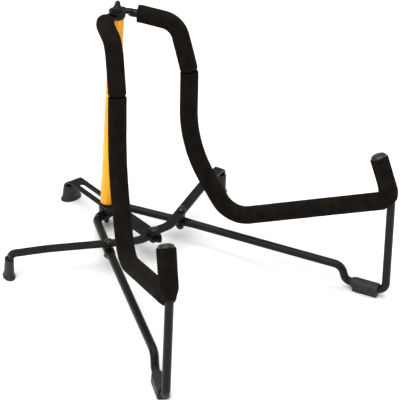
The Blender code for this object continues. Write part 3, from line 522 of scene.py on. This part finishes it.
def backPath(side):
    eye = topEyes[side] + rod["eyeThickness"] / 2
    bend = legPoint(side, backRod["hubReach"], legs["topBarHeight"], backRod["hubOffset"])
    level = (bend - hub).to_2d().normalized() * backRod["levelRun"]
    return bentPath([
        (hub + upward * eye, 0),
        (hub + Vector((level.x, level.y, eye)), backRod["levelBend"]),
        (bend, backRod["hubBend"]),
        (legPoint(side, backRod["topReach"], legs["topBarHeight"]), backRod["topBend"]),
        (legPoint(side, backRod["shoulderReach"], legs["topBarHeight"]), backRod["shoulderBend"]),
        (legPoint(side, backRod["backReach"], backRod["backHeight"]), backRod["backBend"]),
        (legPoint(side, backRod["waistReach"], backRod["waistHeight"]), backRod["waistBend"]),
        (legPoint(side, cradle["reach"], cradle["height"]), cradle["bend"]),
        (legPoint(side, yoke["reach"], yokeHeight), 0),
    ])


def yokePath(side, down, up):
    # The front rod's line through the yoke, from below its bend to above it
    top = legPoint(side, yoke["reach"], yokeHeight)
    below = top + (legPoint(side, frontRod["reach"], frontRod["footHeight"]) - top).normalized() * down
    return bentPath([(below, 0), (top, yoke["bend"]), (yokePoint(side, up), 0)])


def eyeSection(distance):
    # A round eye, a flattened neck, and the rod's own circle past the ramp
    leastHalf = 0.0004
    eyeHalf = max(sqrt(max(rod["eyeRadius"] ** 2 - distance ** 2, 0)), leastHalf)
    flatHalf = eyeHalf if distance < 0 else max(eyeHalf, rod["neckHalfWidth"])
    amount = ease((distance - rod["flatLength"]) / rod["rampLength"])
    halfWidth = between(flatHalf, rod["radius"], amount)
    halfHeight = between(rod["eyeThickness"] / 2, rod["radius"], amount)
    return halfWidth, halfHeight, between(rod["eyeRounding"], rod["radius"], sqrt(amount))


def rodRings(path, pressedAt=None):
    # Close rings where the section changes, and the path's own points elsewhere
    eyeSteps = 14
    rampSteps = 16
    rampStep = 0.0006
    pressedStep = 0.001
    leastApart = 0.0004
    marks = [-rod["eyeRadius"] * cos(pi / 2 * step / eyeSteps) for step in range(eyeSteps)]
    marks += [rod["eyeRadius"] * step / eyeSteps for step in range(eyeSteps)]
    marks += [rod["eyeRadius"] + rampStep * step for step in range(1, rampSteps + 1)]
    pressedReach = pivot["pressedHalfLength"] + pivot["ramp"]
    if pressedAt:
        count = int(2 * pressedReach / pressedStep) + 1
        marks += [pressedAt - pressedReach + pressedStep * step for step in range(count)]
    marks += [run for run in path["runs"] if min(abs(run - mark) for mark in marks) > leastApart]
    rings = []
    for distance in sorted(marks):
        halfWidth, halfHeight, corner = eyeSection(distance)
        if pressedAt:
            amount = ease((pressedReach - abs(distance - pressedAt)) / pivot["ramp"])
            halfWidth = between(halfWidth, pivot["pressedHalfWidth"], amount)
            halfHeight = between(halfHeight, pivot["pressedHalfHeight"], amount)
        rings.append((distance, roundedBox(halfWidth, halfHeight, corner)))
    return rings


def makeFrontRod(side):
    name = sideNames[side]
    path = frontPath(side)
    pressedAt = distanceWhere(path, lambda point: legReach(side, point), pivot["reach"])
    front = skin(name + "_lower_and_front_rod", sweep(path, rodRings(path, pressedAt)))
    drillThin(front, hub, bolt["hole"], lowEyes[side])
    drill(front, rivets[side], pivot["hole"], pivot["drillLow"], pivot["drillHigh"])
    fit(front, name + "_leg", name + "_front_tube")


def makeBackRod(side):
    # Its end is cut to the front rod, which it meets at the yoke
    name = sideNames[side]
    path = backPath(side)
    back = skin(name + "_back_and_arm_rod", sweep(path, rodRings(path)))
    drillThin(back, hub, bolt["hole"], topEyes[side])
    join = yokePath(side, rod["copeReach"], rod["copeReach"])
    cope = [(distance, roundSection(rod["copeRadius"])) for distance in join["runs"]]
    shapeWith(back, skin("cope", sweep(join, cope)))
    fit(back, name + "_leg", name + "_back_tube")


# Foam sleeves, pushed on the rods

foam = {"upperRadius": 0.0085, "longRadius": 0.0087, "yokeRadius": 0.0087, "bore": 0.0043, "rounding": 0.0011,
        "starts": {left: 0.0112, right: 0.0147}, "breakHeight": 0.1868, "breakWidth": 0.002,
        "yokeEndHeight": 0.1045, "yokeEndTilt": 1.1, "yokeEndRadius": 0.0051, "yokeTaper": 0.014,
        "slantHeight": 0.018, "longEndRadius": 0.0058, "longTaper": 0.009, "copeReach": 0.030,
        "copeSteps": 60, "copeRoom": 0.0002, "step": 0.0025, "perCorner": 12,
        "unevenness": 0.00010, "lumps": 90, "fineLumps": 260, "fineShare": 0.5, "outerShare": 1.2,
        "upperSeed": 3, "longSeed": 7, "yokeSeed": 11, "sharpAngle": 50, "fill": 0.85}


def sleeveRings(length, radius):
    # Along the outside with rounded ends, and back through the bore
    edge = foam["rounding"]
    endSteps = 5
    outside = []
    for step in range(endSteps + 1):
        angle = pi / 2 * step / endSteps
        outside.append((edge * (1 - cos(angle)), radius - edge * (1 - sin(angle))))
    count = ceil((length - 2 * edge) / foam["step"])
    middle = [(edge + (length - 2 * edge) * step / count, radius) for step in range(1, count)]
    far = [(length - distance, wide) for distance, wide in reversed(outside)]
    inside = [(length - length * step / count, foam["bore"]) for step in range(count + 1)]
    return outside + middle + far + inside


def longFoamRadius(fromEnd):
    # The long sleeve draws in over its last stretch, where it meets the yoke's
    return between(foam["longEndRadius"], foam["longRadius"], ease(fromEnd / foam["longTaper"]))


def yokeFoamRadius(distance):
    # The yoke sleeve draws in towards its foot, where it grips the front rod
    return between(foam["yokeEndRadius"], foam["yokeRadius"], ease(distance / foam["yokeTaper"]))


def uneven(rings, seed):
    # Foam is never quite round: each outer point moves a little in or out
    shaped = []
    for ring in rings:
        middle = sum(ring, Vector()) / len(ring)
        moved = []
        for point in ring:
            out = point - middle
            drift = noise.noise(point * foam["lumps"] + Vector((seed, 0, 0)))
            drift += foam["fineShare"] * noise.noise(point * foam["fineLumps"])
            outer = out.length > foam["bore"] * foam["outerShare"]
            moved.append(point + out.normalized() * (drift * foam["unevenness"] if outer else 0))
        shaped.append(moved)
    return shaped


def sleeveOn(path, start, length, radius, taper):
    # The sleeve's rings along a rod, nowhere wider than the taper allows
    rings = [(start + distance, roundSection(min(wide, taper(distance)), foam["perCorner"]))
             for distance, wide in sleeveRings(length, radius)]
    return sweep(path, rings)


def slantFoot(rings, side, base):
    # The yoke sleeve's foot is cut on a slant, higher in front
    front = (legPoint(side, 1, 0, 0) - hub).normalized()
    slanted = []
    for ring in rings:
        row = []
        for point in ring:
            share = ease((base.z + foam["slantHeight"] - point.z) / foam["slantHeight"])
            row.append(point + upward * share * foam["yokeEndTilt"] * (point - base).dot(front))
        slanted.append(row)
    return slanted


def makeUpperFoam(side, path, split):
    name = sideNames[side]
    start = distanceWhere(path, lambda point: legReach(side, point), foam["starts"][side])
    end = split - foam["breakWidth"] / 2
    rings = sleeveOn(path, start, end - start, foam["upperRadius"], lambda distance: foam["upperRadius"])
    upper = skin(name + "_upper_foam_sleeve", uneven(rings, side + foam["upperSeed"]), looped=True)
    fit(upper, name + "_leg", name + "_upper_foam", foam["sharpAngle"])


def makeYokeFoam(side, stub, base):
    name = sideNames[side]
    rings = slantFoot(sleeveOn(stub, 0, stub["runs"][-1], foam["yokeRadius"], yokeFoamRadius), side, base)
    short = skin(name + "_yoke_foam_sleeve", uneven(rings, side + foam["yokeSeed"]), looped=True)
    fit(short, name + "_leg", name + "_yoke_foam", foam["sharpAngle"])


def makeLongFoam(side, path, split, base):
    # Its end is cut to the yoke sleeve's outside, and to the front rod below it
    name = sideNames[side]
    half = foam["breakWidth"] / 2
    length = path["runs"][-1] - split - half
    rings = sleeveOn(path, split + half, length, foam["longRadius"],
                     lambda distance: longFoamRadius(length - distance))
    sleeve = skin(name + "_long_foam_sleeve", uneven(rings, side + foam["longSeed"]), looped=True)
    room = yokePath(side, foam["copeReach"], foam["copeReach"])
    foot = foam["copeReach"] - (yokeHeight - foam["yokeEndHeight"])
    cope = []
    for step in range(foam["copeSteps"] + 1):
        distance = room["runs"][-1] * step / foam["copeSteps"]
        cope.append((distance, roundSection(yokeFoamRadius(distance - foot) + foam["copeRoom"],
                                            foam["perCorner"])))
    shapeWith(sleeve, skin("cope", slantFoot(sweep(room, cope), side, base)))
    fit(sleeve, name + "_leg", name + "_long_foam", foam["sharpAngle"])


def makeFoam(side):
    path = backPath(side)
    aboveAll = 1  # so that only the rod past the shoulder counts

    def heightPastShoulder(point):
        return point.z if legReach(side, point) > backRod["shoulderReach"] else aboveAll

    split = distanceWhere(path, heightPastShoulder, foam["breakHeight"])
    stub = yokePath(side, yokeHeight - foam["yokeEndHeight"], yoke["length"])
    base = stub["points"][0]
    makeUpperFoam(side, path, split)
    makeYokeFoam(side, stub, base)
    makeLongFoam(side, path, split, base)


# Caps, rivets, nuts and the hub's stack

cap = {"radius": 0.0074, "rim": 0.0012, "dome": 0.0022, "domeShare": 0.96, "stemShare": 0.97, "step": 0.0001}
rivet = {"radius": 0.0025, "headRadius": 0.0047, "headHeight": 0.0028, "headRim": 0.0003, "headStep": 0.0001,
         "nutAcross": 0.0075, "nutThickness": 0.0035, "end": 0.0015, "spacerRadius": 0.0042}
nutShape = {"chamferShare": 0.06, "faceShare": 0.98}
capNut = {"across": 0.0074, "hexHeight": 0.0032, "roof": 0.001, "baseCut": 0.0003, "baseShare": 0.49,
          "shoulderHeight": 0.72, "shoulderShare": 0.56, "topShare": 0.485,
          "collar": ((0.0007, 0.43), (0.0014, 0.39)), "beadRadius": 0.0026, "height": 0.0087,
          "beadStart": -16, "beadStep": 8, "crownRadius": 0.0001}
centreReach = 0.0717
rivets = {side: legPoint(side, pivot["reach"], 0, pivot["offset"]) for side in (left, right)}
centre = hub - Vector((0, centreReach, 0))


def ringPiece(name, inner, outer, low, high, place, edge=edgeCut):
    profile = [(inner, low), (outer - edge, low), (outer, low + edge), (outer, high - edge),
               (outer - edge, high), (inner, high)]
    return skin(name, turned(profile, place), looped=True)


def nutPiece(name, across, bore, low, high, place):
    # Chamfered, so its corners are cut back at both faces
    cut = across * nutShape["chamferShare"]
    face = hexagon(across, across / 2 * nutShape["faceShare"])
    full = hexagon(across, across)
    rings = [(low, face), (low + cut, full), (high - cut, full), (high, face), (high, circle(bore)),
             (low, circle(bore))]
    return skin(name, stacked(rings, place), looped=True)


def rivetProfile(head, low):
    dome = domeProfile(rivet["headRadius"], head + rivet["headRim"], rivet["headHeight"] - rivet["headRim"])
    rim = [(rivet["headRadius"], head + rivet["headStep"]), (rivet["headRadius"] - edgeCut, head)]
    return dome + rim + [(rivet["radius"], head)] + lowEnd(rivet["radius"], low)


def makeYokeCap(side):
    name = sideNames[side]
    top = yokePoint(side, yoke["length"])
    axis = (top - yokePoint(side, 0)).normalized()
    place = Matrix.Translation(top) @ upward.rotation_difference(axis).to_matrix().to_4x4()
    crown = gap + cap["rim"]
    stem = rod["radius"] * cap["stemShare"]
    profile = domeProfile(cap["radius"] * cap["domeShare"], crown, cap["dome"])
    profile += [(cap["radius"], crown - cap["step"])] + lowEnd(cap["radius"], gap)
    profile += [(stem, gap)] + lowEnd(stem, -yoke["capStem"])
    fit(skin(name + "_domed_cap", turned(profile, place)), name + "_leg", name + "_yoke_cap")


def makePivot(side):
    name = sideNames[side]
    body = name + "_leg"
    here = Matrix.Translation(rivets[side])
    rodHeight = pivot["rodHeights"][side]
    nutHigh = rodHeight - rod["radius"] - gap
    nutLow = nutHigh - rivet["nutThickness"]
    head = sideBarLow[side] + bar["thickness"] + gap
    profile = rivetProfile(head, nutLow - rivet["end"])
    fit(skin(name + "_domed_rivet", turned(profile, here)), body, name + "_pivot_rivet")
    spacerLow = rodHeight + pivot["pressedHalfHeight"] + 2 * gap
    spacer = ringPiece(name + "_rivet_spacer", pivot["hole"], rivet["spacerRadius"], spacerLow,
                       sideBarLow[side] - gap, here)
    fit(spacer, body, name + "_pivot_spacer")
    nut = nutPiece(name + "_rivet_nut", rivet["nutAcross"], pivot["hole"], nutLow, nutHigh, here)
    fit(nut, body, name + "_pivot_nut")


def makeCentrePivot():
    here = Matrix.Translation(centre)
    head = sideBarLow[right] + bar["thickness"] + gap
    profile = rivetProfile(head, sideBarLow[right])
    fit(skin("centre_domed_rivet", turned(profile, here)), "right_bar", "centre_rivet")
    nutHigh = rearBarLow - gap
    nutLow = nutHigh - rivet["nutThickness"]
    shank = [(rivet["radius"], rearBarLow + bar["thickness"])]
    shank += lowEnd(rivet["radius"], nutLow - rivet["end"])
    fit(skin("centre_rivet_tail", turned(shank, here)), "rear_bar", "centre_shank")
    nut = nutPiece("centre_rivet_nut", rivet["nutAcross"], pivot["hole"], nutLow, nutHigh, here)
    fit(nut, "rear_bar", "centre_nut")


def makePost():
    here = Matrix.Translation(hub)
    inner = post["radius"] - post["wall"]
    tube = ringPiece("yellow_post", inner, post["radius"], postLow, postHigh, here)
    fit(tube, "post", "post_tube")
    plug = inner - gap
    base = postLow - gap
    lowPlug = [(bolt["hole"], plugLow), (post["radius"] - edgeCut, plugLow),
               (post["radius"], plugLow + edgeCut), (post["radius"], base - edgeCut),
               (post["radius"] - edgeCut, base), (plug, base), (plug, base + post["plugDepth"]),
               (bolt["hole"], base + post["plugDepth"])]
    fit(skin("post_foot_plug", turned(lowPlug, here), looped=True), "post", "post_lower_plug")
    base = postHigh + gap
    topPlug = [(bolt["hole"], base - post["plugDepth"]), (plug, base - post["plugDepth"]), (plug, base),
               (post["radius"] - edgeCut, base), (post["radius"], base + edgeCut),
               (post["radius"], base + post["rim"] - edgeCut), (post["radius"] - edgeCut, base + post["rim"]),
               (bolt["hole"], base + post["rim"])]
    fit(skin("post_head_plug", turned(topPlug, here), looped=True), "post", "post_top_cap")


def makeHub():
    here = Matrix.Translation(hub)
    boreTop = capNutLow + capNut["hexHeight"] - capNut["roof"]
    pin = arcProfile(0, bolt["end"] + bolt["radius"], bolt["radius"], -89, 0, 10)
    pin += [(bolt["radius"], boreTop - gap - endCut), (bolt["radius"] - endCut, boreTop - gap)]
    fit(skin("long_hub_bolt", turned(pin, here)), "post", "hub_bolt")
    nut = nutPiece("hub_foot_nut", lowNut["across"], bolt["hole"], lowNut["low"],
                   lowNut["low"] + lowNut["thickness"], here)
    fit(nut, "post", "hub_lower_nut")
    spacer = ringPiece("hub_foot_bush", bolt["hole"], bush["radius"], bushLow,
                       bushLow + bush["thickness"], here, bush["edge"])
    fit(spacer, "post", "hub_lower_bush")
    thin = ringPiece("hub_top_washer", bolt["hole"], washer["radius"], washerLow,
                     washerLow + washer["thickness"], here)
    fit(thin, "post", "hub_washer")


def makeCapNut():
    # A hexagon that draws in to a collar, with a round bead on top
    across = capNut["across"]
    height = capNut["hexHeight"]
    beadMiddle = capNut["height"] - capNut["beadRadius"]
    bore = circle(bolt["hole"])
    rings = [(height - capNut["roof"], bore), (0, bore), (0, hexagon(across, across * capNut["baseShare"])),
             (capNut["baseCut"], hexagon(across, across)),
             (height * capNut["shoulderHeight"], hexagon(across, across * capNut["shoulderShare"])),
             (height, hexagon(across, across * capNut["topShare"]))]
    rings += [(height + rise, circle(across * share)) for rise, share in capNut["collar"]]
    for angle in range(capNut["beadStart"], 90, capNut["beadStep"]):
        radius = max(capNut["beadRadius"] * cos(radians(angle)), capNut["crownRadius"])
        rings.append((beadMiddle + capNut["beadRadius"] * sin(radians(angle)), circle(radius)))
    place = Matrix.Translation(hub + upward * capNutLow)
    fit(skin("domed_cap_nut", stacked(rings, place)), "post", "cap_nut")


# Flat bars and the rubber cups on their ends

sideBar = {"endMargin": 0.0075, "innerRun": 0.0293, "innerBend": 0.028, "middleAngle": radians(26.2),
           "middleRun": 0.0602, "outerBend": 0.150, "outerAngle": radians(21.4), "outerRun": 0.037,
           "footBend": 0.005}
rearBar = {"width": 0.016, "nose": 0.0115, "noseRound": 0.0105, "noseTip": 0.5, "crest": 0.0515,
           "footY": 0.0575, "crestBend": 0.004, "lowerBend": 0.003, "neck": 0.0022,
           "slotStart": -0.001, "slotEnd": 0.04009}
sideCup = {"width": 0.0138, "flange": 0.0172, "oval": 0.69, "height": 0.0207, "socketDepth": 0.014,
           "barWidth": bar["width"]}
rearCup = {"width": 0.0208, "flange": 0.0236, "oval": 0.625, "height": 0.017, "socketDepth": 0.013,
           "barWidth": rearBar["width"]}


def sideways(side, angle):
    return Vector((side * cos(angle), sin(angle), 0))


def strapRings(path, width, roundLength, tipShare=1):
    # The far end is square. The near one is round, and a tip share under 1 makes it more pointed.
    steps = 12
    leastApart = 0.0004
    leastHalf = 0.0003
    marks = [roundLength * (1 - cos(pi / 2 * step / steps)) for step in range(1, steps + 1)]
    marks += [run for run in path["runs"] if run > roundLength + leastApart]
    rings = []
    for distance in marks:
        share = min(distance / roundLength, 1)
        half = max(width / 2 * sqrt(1 - (1 - share) ** 2) * between(tipShare, 1, share), leastHalf)
        rings.append((distance, roundedBox(half, bar["thickness"] / 2, bar["rounding"], bar["perCorner"])))
    return rings


def slotCutter(start, end, radius, low, high):
    # A long hole with round ends
    steps = 20
    outline = []
    for middle, startAngle in ((end, 0), (start, pi)):
        for step in range(steps + 1):
            angle = startAngle + pi * step / steps
            outline.append((radius * cos(angle), middle + radius * sin(angle)))
    return skin("slot", stacked([(low, outline), (high, outline)], Matrix.Translation(hub)))


def makeSideBar(side):
    name = sideNames[side]
    middle = upward * (sideBarLow[side] + bar["thickness"] / 2)
    inner = rivets[side] - sideways(side, sideBar["middleAngle"]) * sideBar["innerRun"]
    outer = rivets[side] + sideways(side, sideBar["middleAngle"]) * sideBar["middleRun"]
    outward = sideways(side, sideBar["outerAngle"])
    foot = outer + outward * sideBar["outerRun"]
    start = centre + (centre - inner).normalized() * sideBar["endMargin"]
    path = bentPath([
        (start + middle, 0),
        (inner + middle, sideBar["innerBend"]),
        (outer + middle, sideBar["outerBend"]),
        (foot + middle, sideBar["footBend"] + bar["thickness"] / 2),
        (foot + upward * (sideCup["height"] - sideCup["socketDepth"] + gap), 0),
    ])
    strap = skin(name + "_flat_side_bar", sweep(path, strapRings(path, bar["width"], bar["width"] / 2)))
    for spot in (rivets[side], centre):
        drillThin(strap, spot, pivot["hole"], sideBarLow[side])
    fit(strap, name + "_bar", name + "_side_bar")
    turn = Matrix.Rotation(atan2(outward.y, outward.x) - pi / 2, 4, "Z")
    place = Matrix.Translation(foot) @ turn
    makeCup(name + "_rubber_cup", place, sideCup, name + "_bar", name + "_side_foot")


def makeRearBar():
    half = bar["thickness"] / 2
    level = rearBarLow + half
    lowerZ = rearCup["height"] + rearBar["neck"]
    tilt = atan2(rearBarLow - lowerZ, rearBar["footY"] - half - rearBar["crest"])
    crest = rearBar["crest"] + half * tan(tilt / 2)
    drop = level - (rearBar["footY"] - crest) * tan(tilt)
    path = bentPath([
        (hub + Vector((0, -centreReach - rearBar["nose"], level)), 0),
        (hub + Vector((0, crest, level)), rearBar["crestBend"] + half),
        (hub + Vector((0, rearBar["footY"], drop)), rearBar["lowerBend"] + half),
        (hub + Vector((0, rearBar["footY"], rearCup["height"] - rearCup["socketDepth"] + gap)), 0),
    ], radians(5))
    rings = strapRings(path, rearBar["width"], rearBar["noseRound"], rearBar["noseTip"])
    strap = skin("flat_rear_bar", sweep(path, rings))
    shapeWith(strap, slotCutter(rearBar["slotStart"], rearBar["slotEnd"], bolt["hole"],
                                rearBarLow - drillBelow, rearBarLow + drillAbove))
    drillThin(strap, centre, pivot["hole"], rearBarLow)
    fit(strap, "rear_bar", "rear_bar")
    place = Matrix.Translation(hub + Vector((0, rearBar["footY"], 0)))
    makeCup("rear_rubber_cup", place, rearCup, "rear_bar", "rear_foot")


# What both kinds of cup share. A curve's points are (outwards from the edge named, height).
cupShape = {"topShare": 0.9, "lip": 0.0009, "sides": 72, "room": 0.0002, "above": 0.01, "sharpAngle": 45,
            "flangeCurve": ((-0.0014, 0), (-0.0002, 0.0002), (0, 0.0010), (-0.0001, 0.0020),
                            (-0.0006, 0.0027)),
            "wallCurve": ((0.0003, 0.0032), (0, 0.0042)), "bulgeShare": 0.6, "bulgeHeight": 0.7,
            "lipDrop": 0.0016, "innerDrop": 0.0014, "innerStep": 0.0002, "innerReach": 0.0008}


def makeCup(name, place, cup, body, node):
    # A tapered oval cup on a spread base, with a soft lip round the bar
    half = cup["width"] / 2
    top = half * cupShape["topShare"]
    flange = cup["flange"] / 2
    lip = cupShape["lip"]
    high = cup["height"]
    profile = [(flange + out, height) for out, height in cupShape["flangeCurve"]]
    profile += [(half + out, height) for out, height in cupShape["wallCurve"]]
    profile += [(between(half, top, cupShape["bulgeShare"]), high * cupShape["bulgeHeight"]),
                (top, high - cupShape["lipDrop"])]
    profile += arcProfile(top - lip, high - lip, lip, 0, 180, 9)
    profile += [(top - 2 * lip - cupShape["innerStep"], high - cupShape["innerDrop"]),
                (top - 2 * lip - cupShape["innerReach"], high - cupShape["lipDrop"])]
    piece = skin(name, turned(profile, place, cup["oval"], cupShape["sides"]))
    box = roundedBox(cup["barWidth"] / 2 + cupShape["room"], bar["thickness"] / 2 + cupShape["room"],
                     bar["rounding"], bar["perCorner"])
    socket = [(high - cup["socketDepth"], box), (high + cupShape["above"], box)]
    shapeWith(piece, skin("socket", stacked(socket, place)))
    fit(piece, body, node, cupShape["sharpAngle"])


# Front feet: moulded sleeves on the lower front rods

frontFoot = {"start": 0.2585, "length": 0.0245, "halfWidth": 0.0059, "height": 0.0127, "chamfer": 0.0030,
             "baseShare": 0.4, "lowShare": 0.5, "edge": 0.0006, "edgeSteps": 3, "edgeAngle": 25,
             "collarRadius": 0.0052, "collarLength": 0.0026, "collarEnd": 0.94, "collarEdge": 0.0004,
             "collarDepth": 0.6, "bore": 0.0041, "boreStart": 0.006, "boreLength": 0.034, "sharpAngle": 30}


def makeFrontFoot(side):
    name = sideNames[side]
    rear = legPoint(side, frontFoot["start"], frontRod["footHeight"])
    middle = legPoint(side, frontFoot["start"] + frontFoot["length"] / 2, frontRod["footHeight"])
    place = Matrix.Translation((middle.x, middle.y, 0)) @ Matrix.Rotation(side * legs["angle"], 4, "Z")
    half = frontFoot["length"] / 2
    wide = frontFoot["halfWidth"]
    high = frontFoot["height"]
    cut = frontFoot["chamfer"]
    base = cut * frontFoot["baseShare"]
    low = cut * frontFoot["lowShare"]
    outline = [(-wide + base, 0), (wide - base, 0), (wide, low), (wide, high - cut),
               (wide - cut, high), (-wide + cut, high), (-wide, high - cut), (-wide, low)]
    rings = [[place @ Vector((x, y, z)) for x, z in outline] for y in (-half, half)]
    foot = skin(name + "_rubber_foot_sleeve", rings)
    soften = foot.modifiers.new("soften", "BEVEL")
    soften.width = frontFoot["edge"]
    soften.segments = frontFoot["edgeSteps"]
    soften.limit_method = "ANGLE"
    soften.angle_limit = radians(frontFoot["edgeAngle"])
    settle(foot)

    collarStart = rear - (middle - rear).normalized() * frontFoot["collarLength"]
    radius = frontFoot["collarRadius"]
    rings = [(0, roundSection(radius * frontFoot["collarEnd"])),
             (frontFoot["collarEdge"], roundSection(radius)),
             (half * frontFoot["collarDepth"], roundSection(radius))]
    collar = sweep(bentPath([(collarStart, 0), (rear, 0), (middle, 0)]), rings)
    shapeWith(foot, skin("collar", collar), "UNION")

    path = frontPath(side)
    start = distanceWhere(path, lambda point: legReach(side, point),
                          frontFoot["start"] - frontFoot["boreStart"])
    end = start + frontFoot["boreLength"]
    marks = [start] + [run for run in path["runs"] if start < run < end] + [end]
    shapeWith(foot, skin("bore", sweep(path, [(mark, roundSection(frontFoot["bore"])) for mark in marks])))
    fit(foot, name + "_leg", name + "_front_foot", frontFoot["sharpAngle"])


for legSide in (left, right):
    makeFrontRod(legSide)
    makeBackRod(legSide)
    makeFoam(legSide)
    makeYokeCap(legSide)
    makePivot(legSide)
    makeSideBar(legSide)
    makeFrontFoot(legSide)
    print("Made the", sideNames[legSide], "leg and bar")
makePost()
makeHub()
makeCapNut()
makeCentrePivot()
makeRearBar()
print("Made the hub, the post and the rear bar")


# Floor and studio light

studio = {"floorSize": 12.0, "floorCells": 4, "sky": "#f4f5f8", "skyStrength": 0.5, "aim": (0, 0, 0.08)}
lamps = [
    {"name": "overhead_softbox", "place": (-0.2, 0.2, 1.9), "size": 2.2, "power": 52},
    {"name": "left_softbox", "place": (-1.8, -0.6, 1.3), "size": 1.2, "power": 16},
    {"name": "right_softbox", "place": (1.7, -0.9, 1.0), "size": 0.9, "power": 11},
]


def makeFloor():
    # Matt painted board: a near-white ground that shows no mirror image, only a soft shadow
    look = {"shades": ("#f8f8f6", "#f6f6f4"), "patch": 0.8}
    bpy.ops.mesh.primitive_grid_add(x_subdivisions=studio["floorCells"], y_subdivisions=studio["floorCells"],
                                    size=studio["floorSize"])
    floor = bpy.context.object
    floor.name = "studio_floor"
    paint = makeFinish("matPaintedFloor", {"Roughness": 0.9, "Specular IOR Level": 0.1}, look)
    floor.data.materials.append(paint)


def makeLights():
    world = bpy.data.worlds.new("studio")
    world.use_nodes = True
    background = world.node_tree.nodes["Background"]
    background.inputs["Color"].default_value = linear(studio["sky"])
    background.inputs["Strength"].default_value = studio["skyStrength"]
    bpy.context.scene.world = world
    for lamp in lamps:
        data = bpy.data.lights.new(lamp["name"], "AREA")
        data.energy = lamp["power"]
        data.size = lamp["size"]
        light = bpy.data.objects.new(lamp["name"], data)
        bpy.context.scene.collection.objects.link(light)
        light.location = Vector(lamp["place"])
        light.rotation_mode = "QUATERNION"
        light.rotation_quaternion = (Vector(studio["aim"]) - light.location).to_track_quat("-Z", "Y")


makeFloor()
makeLights()
bpy.context.scene.view_settings.view_transform = "Standard"  # no tone curve over the colours above
print("Studio lit")
